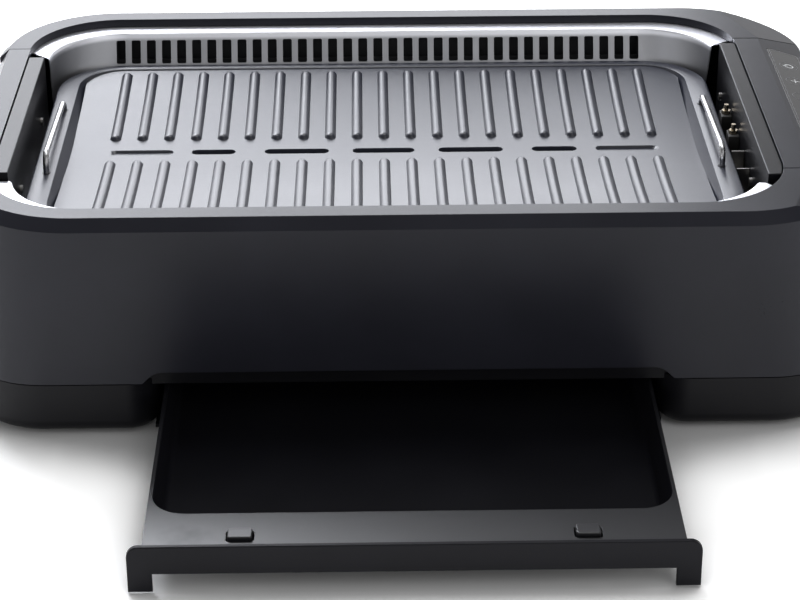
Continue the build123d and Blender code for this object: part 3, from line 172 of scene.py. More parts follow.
def tint(value, factor):
    """A colour times a factor, with no part over 1."""
    return tuple(min(1.0, part * factor) for part in value[:3])


Y_AXIS, Z_AXIS = 1, 2
# Heights in metres between which the drip tray's worn deck lies, and the back of the drawer's face along Y
TRAY_DECK = (0.0285, 0.0292, 0.0360, 0.0370)
TRAY_FACE_Y = -0.3572


def moulded(name, base, roughness, gloss=0.35, polish=None):
    """Moulded plastic with a fine spark-eroded grain and faint flow clouds.

    Polish gives four heights. Behind the drawer's face, a gloss fades in over the first two and out over the
    last two.
    """
    finish = Finish(name)
    clouds = finish.noise(scale=14.0, detail=4.0)
    grit = finish.noise(scale=1900.0, detail=2.0, roughness=0.6)
    pores = finish.noise(scale=720.0, detail=3.0, roughness=0.65)
    finish.bump(grit * 0.6 + pores * 0.4, strength=0.16, distance=0.0003)
    if polish:
        height = finish.coordinate(Z_AXIS)
        behind_face = finish.coordinate(Y_AXIS) > TRAY_FACE_Y
        worn = height.fade(*polish[:2]) * (1 - height.fade(*polish[2:])) * clouds.fade(0.1, 0.4) * behind_face
        finish.set(Coat_Weight=worn, Coat_Roughness=roughness)
    return finish.set(
        Base_Color=finish.shaded(base, clouds, (0.3, 0.7), (0.9, 1.12)),
        Roughness=finish.varied(roughness, (clouds, 0.08), (pores, 0.06)),
        Specular_IOR_Level=gloss,
    )


def coated_casting(name, base, roughness):
    """Satin non-stick coating on a casting, with fine specks and a soft orange peel."""
    finish = Finish(name)
    peel = finish.noise(scale=260.0, detail=3.0)
    specks = finish.noise(scale=2600.0, detail=1.0, roughness=0.5)
    clouds = finish.noise(scale=9.0, detail=3.0)
    finish.bump(peel * 0.7 + specks * 0.3, strength=0.12, distance=0.0003)
    return finish.set(
        Base_Color=finish.shaded(base, specks, (0.55, 0.72), (1.0, 1.9)),
        Roughness=finish.varied(roughness, (clouds, 0.1), (specks, 0.06)),
        Specular_IOR_Level=0.55,
    )


# Heights in metres between which the liner's brushed wall passes into its lip, and how much brighter the lip's
# colour is made: a painted highlight on its lit top
LINER_LIP_HIGHLIGHT = (0.1385, 0.1415)
LIP_HIGHLIGHT_FACTOR = 2.2


def rolled_steel(name, base, roughness, along=(1.0, 1.0, 1.0), lip_highlight=None):
    """Bright sheet with fine rolling lines along one direction and faint smudges.

    Given two heights, the sheet's colour brightens over them into a painted highlight along its top edge.
    """
    finish = Finish(name)
    lines = finish.noise(scale=60.0, detail=4.0, roughness=0.7, vector=finish.stretched(along))
    smudges = finish.noise(scale=18.0, detail=3.0)
    base_colour = finish.shaded(base, smudges, (0.35, 0.7), (0.93, 1.05))
    if lip_highlight:
        # Painted highlight: the colour is brightened above the given heights, along the lip's top.
        base_colour = finish.mix(finish.coordinate(Z_AXIS).fade(*lip_highlight), base_colour, tint(base, LIP_HIGHLIGHT_FACTOR))
    finish.bump(lines, strength=0.05, distance=0.0002)
    rough = finish.varied(roughness, (lines, 0.16), (smudges, 0.08))
    return finish.set(Base_Color=base_colour, Roughness=rough, Metallic=1.0)


def drawn_wire(name, base, roughness):
    """Bright drawn metal with faint scratches."""
    finish = Finish(name)
    scratches = finish.noise(scale=900.0, detail=2.0, roughness=0.6, vector=finish.stretched((1.0, 0.06, 1.0)))
    finish.bump(scratches, strength=0.04, distance=0.0001)
    return finish.set(
        Base_Color=finish.shaded(base, scratches, (0.4, 0.7), (0.9, 1.0)),
        Roughness=finish.varied(roughness, (scratches, 0.12)),
        Metallic=1.0,
    )


def glossy_panel(name, base, roughness):
    """Glossy panel with the faintest ripple and a little dust."""
    finish = Finish(name)
    ripple = finish.noise(scale=30.0, detail=2.0)
    dust = finish.noise(scale=1400.0, detail=2.0, roughness=0.7)
    finish.bump(ripple, strength=0.02, distance=0.0005)
    return finish.set(
        Base_Color=finish.shaded(base, dust, (0.66, 0.8), (1.0, 2.5)),
        Roughness=finish.varied(roughness, (dust, 0.06)),
    )


def laminate(name, base, roughness):
    """Circuit laminate with a fine lattice of tracks under its lacquer."""
    finish = Finish(name)
    shades = {"Color1": colour(base), "Color2": colour(tint(base, 1.3))}
    cells = finish.node(
        "ShaderNodeTexBrick", {}, {"Vector": finish.place, "Scale": 90.0, "Mortar Size": 0.05, **shades}
    )
    finish.bump(finish.noise(scale=500.0), strength=0.1, distance=0.0002)
    return finish.set(Base_Color=cells, Roughness=finish.varied(roughness, (finish.noise(scale=40.0), 0.1)))


def soft_rubber(name, base, roughness):
    """Matt rubber or soft sheath with a fine bloom."""
    finish = Finish(name)
    bloom = finish.noise(scale=300.0, detail=4.0, roughness=0.7)
    finish.bump(bloom, strength=0.15, distance=0.0003)
    return finish.set(
        Base_Color=finish.shaded(base, bloom, (0.35, 0.75), (1.0, 1.4)),
        Roughness=finish.varied(roughness, (bloom, 0.1)),
    )


def printed_ink(name, base, roughness):
    """Printed ink with a slightly uneven cover."""
    finish = Finish(name)
    cover = finish.noise(scale=1600.0, detail=2.0)
    finish.bump(cover, strength=0.04, distance=0.0001)
    return finish.set(
        Base_Color=finish.shaded(base, cover, (0.3, 0.6), (0.85, 1.0)),
        Roughness=finish.varied(roughness, (cover, 0.1)),
    )


def unglazed(name, base, roughness):
    """Unglazed ceramic with small pits."""
    finish = Finish(name)
    pits = finish.noise(scale=800.0, detail=4.0, roughness=0.7)
    finish.bump(pits, strength=0.2, distance=0.0003)
    return finish.set(
        Base_Color=finish.shaded(base, pits, (0.3, 0.6), (0.8, 1.0)),
        Roughness=finish.varied(roughness, (pits, 0.1)),
    )


class GrillColours(bpy.types.PropertyGroup):
    """Colours of the grill's finishes."""

    shell: bpy.props.FloatVectorProperty(
        name="Shell",
        description="Slate plastic of the housing",
        subtype="COLOR",
        size=3,
        default=(0.015, 0.0155, 0.0215),
    )
    base: bpy.props.FloatVectorProperty(
        name="Base",
        description="Black plastic of the base",
        subtype="COLOR",
        size=3,
        default=(0.005, 0.005, 0.0066),
    )
    drawer: bpy.props.FloatVectorProperty(
        name="Drawer",
        description="Black plastic of the drip tray",
        subtype="COLOR",
        size=3,
        default=(0.008, 0.008, 0.0105),
    )
    plate: bpy.props.FloatVectorProperty(
        name="Plate",
        description="Coating of the grill plate",
        subtype="COLOR",
        size=3,
        default=(0.018, 0.020, 0.031),
    )
    liner: bpy.props.FloatVectorProperty(
        name="Liner",
        description="Steel of the liner",
        subtype="COLOR",
        size=3,
        default=(0.42, 0.425, 0.45),
    )
    backdrop: bpy.props.FloatVectorProperty(
        name="Backdrop",
        description="Floor and backdrop",
        subtype="COLOR",
        size=3,
        default=(0.93, 0.93, 0.93),
    )


def finishes(colours):
    """Every finish of the grill by its slot in the record."""
    return {
        "slate_shell": moulded("slate_shell", colours.shell, 0.3, gloss=0.22),
        "black_base": moulded("black_base", colours.base, 0.4, gloss=0.17),
        "black_bar": moulded("black_bar", colours.base, 0.34, gloss=0.2),
        "drawer_black": moulded("drawer_black", colours.drawer, 0.36, gloss=0.14, polish=TRAY_DECK),
        "panel_black": glossy_panel("panel_black", (0.012, 0.012, 0.014), 0.12),
        "liner_steel": rolled_steel("liner_steel", colours.liner, 0.42, along=(1.0, 14.0, 14.0), lip_highlight=LINER_LIP_HIGHLIGHT),
        "plate_coating": coated_casting("plate_coating", colours.plate, 0.32),
        "wire_steel": drawn_wire("wire_steel", (0.5, 0.5, 0.51), 0.28),
        "element_steel": drawn_wire("element_steel", (0.22, 0.2, 0.18), 0.42),
        "white_ceramic": unglazed("white_ceramic", (0.035, 0.034, 0.032), 0.7),
        "contact_brass": drawn_wire("contact_brass", (0.5, 0.43, 0.32), 0.25),
        "screw_steel": drawn_wire("screw_steel", (0.32, 0.31, 0.3), 0.32),
        "foot_rubber": soft_rubber("foot_rubber", (0.02, 0.02, 0.02), 0.75),
        "fan_plastic": moulded("fan_plastic", (0.035, 0.036, 0.04), 0.5),
        "motor_steel": rolled_steel("motor_steel", (0.45, 0.45, 0.46), 0.35),
        "board_laminate": laminate("board_laminate", (0.02, 0.12, 0.05), 0.3),
        "lead_sheath": soft_rubber("lead_sheath", (0.35, 0.02, 0.015), 0.5),
        "runner_plastic": moulded("runner_plastic", (0.4, 0.4, 0.4), 0.35),
    }


def dress(node, material):
    """Gives a CAD node one material in every slot."""
    mesh = frame["nodes"][node].data
    if not mesh.materials:
        mesh.materials.append(material)
    for index in range(len(mesh.materials)):
        mesh.materials[index] = material


class GRILL_OT_finishes(bpy.types.Operator):
    """Gives every node of the frame the finish of its slot"""

    bl_idname = "grill.finishes"
    bl_label = "Finishes"

    def execute(self, context):
        made = finishes(context.scene.grill_colours)
        for part in frame["record"]["subparts"]:
            dress(part["node"], made[part["material_slot"]])
        return {"FINISHED"}


class GrillSizes(bpy.types.PropertyGroup):
    """Sizes of the surfaces that this script adds."""

    edge_round: bpy.props.FloatProperty(
        name="Edge rounding", description="Rounding of moulded edges", default=0.0006, unit="LENGTH"
    )
    rib_width: bpy.props.FloatProperty(
        name="Rib width", description="Width of a cooking rib at its foot", default=0.0076, unit="LENGTH"
    )
    rib_height: bpy.props.FloatProperty(
        name="Rib height", description="Height of a cooking rib over the floor", default=0.0029, unit="LENGTH"
    )
    wire_bend: bpy.props.FloatProperty(
        name="Wire bend", description="Bend radius of the handles' middle line", default=0.0085, unit="LENGTH"
    )
    line_width: bpy.props.FloatProperty(
        name="Sign line", description="Width of the touch panel's printed lines", default=0.0008, unit="LENGTH"
    )


def body_of_node(node):
    """The body that carries a node."""
    return next(body for body, nodes in frame["record"]["behaviour"]["bodies"].items() if node in nodes)


def slot_of_node(node):
    """The material slot of a node."""
    return next(part["material_slot"] for part in frame["record"]["subparts"] if part["node"] == node)


def add_piece(name, mesh, node, slot=None, replaced=True):
    """Links a mesh as a piece that rides with a node, stands in for it and takes its slot's finish."""
    piece = bpy.data.objects.new(name, mesh)
    bpy.context.scene.collection.objects.link(piece)
    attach(piece, body_of_node(node))
    slot = slot or slot_of_node(node)
    mesh.materials.append(bpy.data.materials[slot + FINISH_MARK])
    if replaced:
        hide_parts(node)
    return piece


def joined(parts):
    """Several (vertices, faces) pairs as one pair of arrays."""
    starts = np.cumsum([0] + [len(points) for points, _ in parts[:-1]])
    vertices = np.concatenate([points for points, _ in parts])
    faces = np.concatenate([quads + start for (_, quads), start in zip(parts, starts)])
    return vertices, faces


def mesh_from(name, vertices, faces, sharp_angle=None):
    """A smooth mesh in metres from points in millimetres and quads; edges over sharp_angle stay sharp."""
    mesh = bpy.data.meshes.new(name)
    mesh.vertices.add(len(vertices))
    mesh.vertices.foreach_set("co", (np.asarray(vertices, dtype=np.float32) * MM).ravel())
    faces = np.asarray(faces, dtype=np.int32)
    mesh.loops.add(faces.size)
    mesh.loops.foreach_set("vertex_index", faces.ravel())
    mesh.polygons.add(len(faces))
    mesh.polygons.foreach_set("loop_start", np.arange(0, faces.size, 4, dtype=np.int32))
    mesh.update(calc_edges=True)
    mesh.validate()
    mesh.shade_smooth()
    if sharp_angle:
        mesh.set_sharp_from_angle(angle=np.radians(sharp_angle))
    return mesh


def grid_quads(rows, columns, wrapped=False):
    """Quads between the points of a grid, row by row; a wrapped grid's last column meets its first."""
    index = np.arange(rows * columns).reshape(rows, columns)
    if wrapped:
        index = np.concatenate([index, index[:, :1]], axis=1)
    return np.stack([index[:-1, :-1], index[:-1, 1:], index[1:, 1:], index[1:, :-1]], axis=-1).reshape(-1, 4)


def lofted(rings):
    """A closed surface through rings of equally many points.

    Quads join each ring to the next, and the first and last rings close onto the mean of their points.
    """
    rings = np.stack(rings)
    first = np.repeat(rings[:1].mean(axis=1, keepdims=True), rings.shape[1], axis=1)
    last = np.repeat(rings[-1:].mean(axis=1, keepdims=True), rings.shape[1], axis=1)
    rings = np.concatenate([first, rings, last])
    return rings.reshape(-1, 3), grid_quads(*rings.shape[:2], wrapped=True)


def rounded_ring(width, depth, corner, arc_steps=12, run_steps=10):
    """Points round a rectangle with round corners: quarter circles joined by straight runs."""
    arcs = []
    for quarter in range(4):
        angles = np.pi / 2 * (quarter + np.linspace(0, 1, arc_steps + 1))
        side_x, side_y = ((1, 1), (-1, 1), (-1, -1), (1, -1))[quarter]
        middle = np.array([side_x * (width / 2 - corner), side_y * (depth / 2 - corner)])
        arcs.append(middle + corner * np.stack([np.cos(angles), np.sin(angles)], axis=1))
    pieces = []
    share = np.linspace(0, 1, run_steps + 2)[1:-1, None]
    for arc, following in zip(arcs, arcs[1:] + arcs[:1]):
        pieces += [arc, arc[-1] * (1 - share) + following[0] * share]
    return np.concatenate(pieces)


def level_ring(outline, middle_x, z):
    """A flat outline as a ring at a height, which may differ from point to point."""
    return np.column_stack([outline[:, 0] + middle_x, outline[:, 1], np.broadcast_to(z, len(outline))])


# Merging distance in metres, and the angle in degrees up to which neighbouring faces count as one flat
MERGE_DISTANCE, FLAT_ANGLE = 1e-6, 0.4


def soften(node, width, least_angle):
    """Adds a merged copy of a node's shape that stands in for it, with edges rounded by a small width."""
    work = bmesh.new()
    work.from_mesh(frame["nodes"][node].data)
    bmesh.ops.remove_doubles(work, verts=work.verts, dist=MERGE_DISTANCE)
    bmesh.ops.dissolve_limit(work, angle_limit=np.radians(FLAT_ANGLE), verts=work.verts, edges=work.edges)
    mesh = bpy.data.meshes.new(node + "_skin")
    work.to_mesh(mesh)
    work.free()
    mesh.materials.clear()
    mesh.shade_smooth()
    piece = add_piece(node + "_skin", mesh, node)
    bevel = piece.modifiers.new("rounding", "BEVEL")
    bevel.width = width
    bevel.segments = 2
    bevel.limit_method = "ANGLE"
    bevel.angle_limit = np.radians(least_angle)
    bevel.miter_outer = "MITER_ARC"
    flats = piece.modifiers.new("flats", "WEIGHTED_NORMAL")
    flats.weight = 100
    flats.keep_sharp = True


# Nodes whose edges are rounded: each one's share of the full rounding, and the least angle of an edge in degrees
SOFT_EDGES = {
    "upper_housing": (1.0, 9.6),
    "left_end_cover": (1.0, 9.6),
    "right_end_cover": (1.0, 9.6),
    "lower_base": (0.9, 32.0),
    "left_side_bar": (0.8, 32.0),
    "right_side_bar": (0.8, 32.0),
    "drip_tray": (0.8, 32.0),
    "drawer_front": (0.6, 32.0),
    "terminal_blocks": (0.6, 32.0),
    "probe_bracket": (0.5, 32.0),
    "exhaust_grille": (0.5, 32.0),
    "mains_inlet": (0.7, 32.0),
    "touch_panel": (0.3, 32.0),
}


class GRILL_OT_soft_edges(bpy.types.Operator):
    """Rounds the edges of the mouldings, the bars and the drawer"""

    bl_idname = "grill.soft_edges"
    bl_label = "Soft edges"

    def execute(self, context):
        full = context.scene.grill_sizes.edge_round
        for node, (share, least_angle) in SOFT_EDGES.items():
            soften(node, full * share, least_angle)
        return {"FINISHED"}


# Plate, in millimetres, with lengths along X taken from the plate's own middle
PLATE_BOX = np.array(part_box("grill_plate")) / MM
PLATE_X = PLATE_BOX[:, 0].mean()
PLATE_TOP = PLATE_BOX[1, 2]
PLATE_WIDTH, PLATE_DEPTH = (PLATE_BOX[1] - PLATE_BOX[0])[:2]
PLATE_CORNER = 46.0
PAN_WIDTH, PAN_DEPTH, PAN_CORNER = PLATE_WIDTH - 29.0, PLATE_DEPTH - 18.0, 30.0
PAN_DEEPEST = 14.0
PAN_DRAFT = 7.0
FLANGE = 3.6
BODY_WALL = 3.0
FLOOR_DROP, FLOOR_EDGE_DROP, FLOOR_THICK = 9.0, 0.7, 5.0
FLOOR_BOW = FLOOR_DROP - FLOOR_EDGE_DROP
FLOOR_RADIUS = ((PAN_DEPTH / 2) ** 2 + FLOOR_BOW**2) / (2 * FLOOR_BOW)
RIB_COUNT, RIB_PITCH, RIB_NEAR, RIB_FAR = 21, 18.35, 18.5, 123.0
SLOT_Y, SLOT_RADIUS, SLOT_DEPTH, GROOVE_DEPTH = -1.3, 4.0, 5.0, 1.6
DRIP_SLOTS = ((-115.3, 29.7), (-59.1, 43.6), (-0.4, 42.0), (58.6, 43.7), (115.2, 30.6))
BLIND_GROOVES = ((-163.7, 42.7), (164.3, 42.0))
FOOT_RADIUS, FOOT_X, FOOT_Y, FOOT_CHAMFER = 6.0, 150.0, 78.0, 0.6
RIB_POWER = 0.62
ROUND_SIDES = 24
SHARP_ANGLE = 60.0
# How far the floor's grid runs under the pan's wall at its ends, and how far it stops short along its sides
FLOOR_MARGIN, FLOOR_INSET = 3.0, 0.1
# How near a hole's outline a grid point is moved onto it
HOLE_SNAP = 0.42
# Lines of the floor's grid: over half a rib as shares of its half width, over a hole's end, over the row of holes
RIB_LINES = np.array([0.0, 0.3, 0.55, 0.75, 0.88, 0.96, 1.0, 1.12, 1.4])
END_LINES = np.arange(-4.5, 4.6, 0.75)
HALF_ROW_LINES = np.array([1.6, 2.6, 3.4, 4.0, 4.6, 5.2, 6.0, 7.2])
ROW_LINES = np.concatenate([-HALF_ROW_LINES[::-1], [0.0], HALF_ROW_LINES])
FILL_COLUMNS, FILL_ROWS = 120, 28
# Pan wall as shares of the way from its foot to its brim, with drops below the plate's top
WALL_STEPS = ((0.93, 0.98), (0.97, 0.42), (1.0, 0.12), (1.03, 0.0))
# Flange's edge as insets from the plate's outline, with drops
EDGE_STEPS = ((1.4, 0.0), (0.75, 0.1), (0.3, 0.4), (0.05, 0.9), (0.0, 1.4), (0.0, FLANGE - 0.5), (0.5, FLANGE))
# Underside as shares of its outline
BELLY_STEPS = (1.0, 0.9, 0.7, 0.45, 0.2)


def unit_circle(sides):
    """Points at even angles round a circle of radius 1."""
    turn = np.linspace(0, 2 * np.pi, sides, endpoint=False)
    return np.stack([np.cos(turn), np.sin(turn)], axis=1)


def floor_height(y):
    """Height of the cooking floor: the lower arc of a large circle, lowest along the middle line."""
    return PLATE_TOP - FLOOR_DROP + FLOOR_RADIUS - np.sqrt(FLOOR_RADIUS**2 - y**2)


def from_run(x, y, half_run, along_y=False):
    """Distance from a straight run through the origin, and the direction that leads away from it."""
    along, across = (y, x) if along_y else (x, y)
    rest = along - np.clip(along, -half_run, half_run)
    distance = np.hypot(rest, across)
    safe = np.maximum(distance, 1e-9)
    away = (across / safe, rest / safe) if along_y else (rest / safe, across / safe)
    return distance, away


def rib_rise(x, y, width, height):
    """Ribs as long half-round bars: height falls with the distance from the nearest rib's middle run.

    With s the distance over half the width, the rise is height times (1 - s squared) to the power RIB_POWER.
    """
    nearest = np.clip(np.round(x / RIB_PITCH), -(RIB_COUNT - 1) / 2, (RIB_COUNT - 1) / 2) * RIB_PITCH
    middle_y = (RIB_NEAR + RIB_FAR) / 2
    half_run = (RIB_FAR - RIB_NEAR - width) / 2
    distance, _ = from_run(x - nearest, np.abs(y) - middle_y, half_run, along_y=True)
    share = np.clip(1 - (distance / (width / 2)) ** 2, 0, 1)
    return height * share**RIB_POWER


def with_lines(kept, more, gap=0.35):
    """Grid lines: all that are kept, and those of more that lie over gap from each of them, in order."""
    kept, more = np.unique(np.round(kept, 3)), np.unique(np.round(more, 3))
    clear = np.abs(more[:, None] - kept[None, :]).min(axis=1) > gap
    return np.sort(np.concatenate([kept, more[clear]]))


def cooking_floor(width, height):
    """The floor with its ribs, slots and grooves: a height over a grid that is fine where the shape turns.

    Height is the floor's arc plus the ribs' rise, less a fixed depth inside a hole. Grid points near a hole's
    outline are moved onto it, and faces that lie wholly inside a slot are left out.
    """
    across = width / 2 * RIB_LINES
    across = np.concatenate([-across[:0:-1], across])
    ribs = (np.arange(RIB_COUNT) - (RIB_COUNT - 1) / 2) * RIB_PITCH
    holes = DRIP_SLOTS + BLIND_GROOVES
    ends = np.concatenate([[middle - length / 2, middle + length / 2] for middle, length in holes])
    edge_x = PAN_WIDTH / 2 - PAN_DRAFT + FLOOR_MARGIN
    xs = np.concatenate([(ribs[:, None] + across).ravel(), [-edge_x, edge_x]])
    xs = with_lines(xs, (ends[:, None] + END_LINES).ravel())
    xs = with_lines(xs, np.linspace(-edge_x, edge_x, FILL_COLUMNS))
    near, far = RIB_NEAR + width / 2, RIB_FAR - width / 2
    one_side = np.concatenate([near + across, far + across, [PAN_DEPTH / 2 - FLOOR_INSET]])
    ys = with_lines(np.concatenate([one_side, -one_side]), SLOT_Y + ROW_LINES)
    ys = with_lines(ys, np.linspace(-far, far, FILL_ROWS))
    x, y = (part.copy() for part in np.meshgrid(xs, ys))
    inside = np.zeros(x.shape, dtype=bool)
    cut = np.zeros(x.shape)
    for number, (middle, length) in enumerate(holes):
        distance, away = from_run(x - middle, y - SLOT_Y, length / 2 - SLOT_RADIUS)
        outside = distance - SLOT_RADIUS
        near_edge = np.abs(outside) < HOLE_SNAP
        x -= np.where(near_edge, outside * away[0], 0)
        y -= np.where(near_edge, outside * away[1], 0)
        within = (outside < 0) & ~near_edge
        through = number < len(DRIP_SLOTS)
        cut[within] = SLOT_DEPTH if through else GROOVE_DEPTH
        inside |= within & through
    z = floor_height(y) + rib_rise(x, y, width, height) - cut
    quads = grid_quads(*x.shape)
    quads = quads[~inside.ravel()[quads].all(axis=1)]
    return np.column_stack([x.ravel() + PLATE_X, y.ravel(), z.ravel()]), quads


def plate_rim():
    """The plate's flange, pan wall and underside as one loft of rounded outlines.

    It runs from the foot of the pan's wall up, over the flange, round its edge and back below to the middle.
    """
    low = PLATE_TOP - FLANGE
    foot = rounded_ring(PAN_WIDTH - 2 * PAN_DRAFT, PAN_DEPTH - PAN_DRAFT, PAN_CORNER - PAN_DRAFT / 2)
    brim = rounded_ring(PAN_WIDTH, PAN_DEPTH, PAN_CORNER)
    rings = [level_ring(foot, PLATE_X, PLATE_TOP - PAN_DEEPEST)]
    for share, drop in WALL_STEPS:
        rings.append(level_ring(foot + (brim - foot) * share, PLATE_X, PLATE_TOP - drop))
    for inset, drop in EDGE_STEPS:
        ring = rounded_ring(PLATE_WIDTH - 2 * inset, PLATE_DEPTH - 2 * inset, PLATE_CORNER - inset)
        rings.append(level_ring(ring, PLATE_X, PLATE_TOP - drop))
    belly = rounded_ring(PAN_WIDTH, PAN_DEPTH + 2 * BODY_WALL, PAN_CORNER + BODY_WALL)
    rings.append(level_ring(belly, PLATE_X, low))
    for share in BELLY_STEPS:
        inner = belly * share
        under = np.minimum(floor_height(inner[:, 1]) - FLOOR_THICK, low)
        rings.append(level_ring(inner, PLATE_X, under))
    return lofted(rings)


def plate_feet():
    """Four short round feet under the plate, each a loft of three circles."""
    bottom = PLATE_BOX[0, 2]
    circle = unit_circle(ROUND_SIDES)
    feet = []
    for x in (-FOOT_X, FOOT_X):
        for y in (-FOOT_Y, FOOT_Y):
            top = floor_height(y) - FLOOR_THICK / 2
            rings = [
                level_ring(circle * radius + (0, y), PLATE_X + x, z)
                for radius, z in (
                    (FOOT_RADIUS, top),
                    (FOOT_RADIUS, bottom + FOOT_CHAMFER),
                    (FOOT_RADIUS - FOOT_CHAMFER, bottom),
                )
            ]
            points, quads = lofted(rings)
            feet.append((points, quads[:, ::-1]))
    return joined(feet)


class GRILL_OT_plate(bpy.types.Operator):
    """Builds the ribbed grill plate"""

    bl_idname = "grill.plate"
    bl_label = "Grill plate"

    def execute(self, context):
        sizes = context.scene.grill_sizes
        rim, rim_quads = plate_rim()
        parts = [
            cooking_floor(sizes.rib_width / MM, sizes.rib_height / MM),
            (rim, rim_quads[:, ::-1]),
            plate_feet(),
        ]
        mesh = mesh_from("ribbed_plate", *joined(parts), sharp_angle=SHARP_ANGLE)
        add_piece("ribbed_plate", mesh, "grill_plate")
        return {"FINISHED"}


# Wire handles, in millimetres
WIRE_RADIUS = 2.0
WIRE_FRONT_RISE, WIRE_REAR_RISE = 12.5, 7.0
WIRE_LENGTH = 107.0
WIRE_HEAD, WIRE_HEAD_RADIUS = 1.5, 3.6
# How far a bend's radius may exceed the lower rise
BEND_OVER_RISE = 1.0
# Dark ring of painted shade round each leg, standing in for the hole it passes through: its outer radius, its
# inner one as a share of the wire's, its height over the plate
HOLE_SHADE_RADIUS, HOLE_SHADE_INNER, HOLE_SHADE_LIFT = 2.9, 0.9, 0.06


def bent_path(corners, bend, steps=10):
    """A path of straight runs between its corners, with an arc of one radius at each bend.

    A bend's middle lies on the line that halves the corner, the radius over the sine of the half angle away. Its
    points turn evenly from the one run to the other, each a sum of both ends weighted by the sines of its angles.
    """
    corners = [np.array(corner, dtype=float) for corner in corners]
    points = [corners[0][None]]
    for before, here, after in zip(corners, corners[1:], corners[2:]):
        back, on = before - here, after - here
        back, on = back / np.linalg.norm(back), on / np.linalg.norm(on)
        half = np.arccos(np.clip(back @ on, -1, 1)) / 2
        reach = bend / np.tan(half)
        inward = (back + on) / np.linalg.norm(back + on)
        middle = here + inward * bend / np.sin(half)
        start, end = here + back * reach - middle, here + on * reach - middle
        turn = np.linspace(0, 1, steps)[:, None]
        whole = np.pi - 2 * half
        swept = np.sin((1 - turn) * whole) * start + np.sin(turn * whole) * end
        points.append(middle + swept / np.sin(whole))
    points.append(corners[-1][None])
    return np.concatenate(points)


def tube(path, radius, sides=20):
    """A round tube along a path that lies in a plane of one X: a circle carried square to the path."""
    ahead = np.gradient(path, axis=0)
    ahead /= np.linalg.norm(ahead, axis=1, keepdims=True)
    side = np.array([1.0, 0.0, 0.0])
    up = np.cross(ahead, side)
    circle = unit_circle(sides)
    spread = circle[:, :1] * side + circle[:, 1:] * up[:, None, :]
    return lofted(list(path[:, None, :] + radius * spread))


def filled_path(path, gap=3.0):
    """A path whose long runs get more points, so that no step is much longer than gap."""
    steps = np.linalg.norm(np.diff(path, axis=0), axis=1)
    along = np.concatenate([[0], np.cumsum(steps)])
    places = np.unique(np.concatenate([along, np.arange(0, along[-1], gap)]))
    return np.column_stack([np.interp(places, along, path[:, axis]) for axis in range(3)])


def disc(x, y, z, inner, outer, sides=28):
    """A flat ring with its face up, between two circles round one middle."""
    circle = unit_circle(sides)
    rings = np.stack([level_ring(circle * radius + (0, y), x, z) for radius in (outer, inner)])
    return rings.reshape(-1, 3), grid_quads(2, sides, wrapped=True)


class GRILL_OT_handles(bpy.types.Operator):
    """Builds the two bent wire handles and a dark ring of painted shade round each leg, where its hole would be
    """

    bl_idname = "grill.handles"
    bl_label = "Wire handles"

    def execute(self, context):
        bend = min(context.scene.grill_sizes.wire_bend / MM, WIRE_REAR_RISE + BEND_OVER_RISE)
        under = PLATE_TOP - FLANGE
        holes = []
        for node in ("left_handle", "right_handle"):
            x = np.array(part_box(node))[:, 0].mean() / MM
            corners = (
                (x, -WIRE_LENGTH / 2, under),
                (x, -WIRE_LENGTH / 2, PLATE_TOP + WIRE_FRONT_RISE),
                (x, WIRE_LENGTH / 2, PLATE_TOP + WIRE_REAR_RISE),
                (x, WIRE_LENGTH / 2, under),
            )
            parts = [tube(filled_path(bent_path(corners, bend)), WIRE_RADIUS)]
            for y in (-WIRE_LENGTH / 2, WIRE_LENGTH / 2):
                head = np.array([(x, y, under - WIRE_HEAD), (x, y, under)])
                parts.append(tube(head, WIRE_HEAD_RADIUS, ROUND_SIDES))
                inner = WIRE_RADIUS * HOLE_SHADE_INNER
                holes.append(disc(x, y, PLATE_TOP + HOLE_SHADE_LIFT, inner, HOLE_SHADE_RADIUS))
            vertices, quads = joined(parts)
            add_piece(node + "_wire", mesh_from(node + "_wire", vertices, quads, SHARP_ANGLE), node)
        # Painted shade: flat black rings stand in for the shaded holes round the legs.
        mesh = mesh_from("handle_clearances", *joined(holes))
        add_piece("handle_clearances", mesh, "grill_plate", "black_bar", replaced=False)
        return {"FINISHED"}


# Touch panel: places on its slope in millimetres, first down the slope and then along the body's end
SLOPE_START = np.array([255.5, 0.0, 150.0])
SLOPE_ANGLE = np.radians(11.0)
SLOPE_OUT = np.array([np.cos(SLOPE_ANGLE), 0.0, -np.sin(SLOPE_ANGLE)])
SLOPE_ALONG = np.array([0.0, 1.0, 0.0])
SLOPE_UP = np.array([np.sin(SLOPE_ANGLE), 0.0, np.cos(SLOPE_ANGLE)])
SIGN_LIFT = 0.06
PANEL_NEAR, PANEL_OUT, PANEL_HALF, PANEL_SKEW = 3.5, 26.0, 98.0, 7.5
PANEL_MIDDLE = (PANEL_NEAR + PANEL_OUT) / 2
FRAME_INSET, FRAME_CORNER = 1.6, 4.0
# Middles of the three signs, the rings round them, the strokes' half length, the power sign's bar and open circle
POWER_Y, PLUS_Y, MINUS_Y = 66.0, 38.0, 10.0
RING_RADIUS, STROKE = 6.4, 3.0
POWER_BAR, POWER_ARC = (-4.2, -0.6), (210, 510)
# Level marks: how many, the first one's place and half length, and how both grow from mark to mark
LEVEL_COUNT, LEVEL_Y, LEVEL_PITCH, LEVEL_HALF, LEVEL_GROWTH = 5, -16.0, 9.0, 1.0, 0.8
# Widths of faint lines and level marks as shares of the signs' line width
FAINT_SHARE, LEVEL_SHARE = 0.6, 1.4
SIGN_INK, RING_INK, INK_ROUGHNESS = (0.62, 0.63, 0.64), (0.12, 0.12, 0.13), 0.45


def on_slope(places):
    """Places on the panel's slope as points in the frame, a hair above the surface."""
    places = np.asarray(places, dtype=float)
    return SLOPE_START + places[:, :1] * SLOPE_OUT + places[:, 1:] * SLOPE_ALONG + SIGN_LIFT * SLOPE_UP


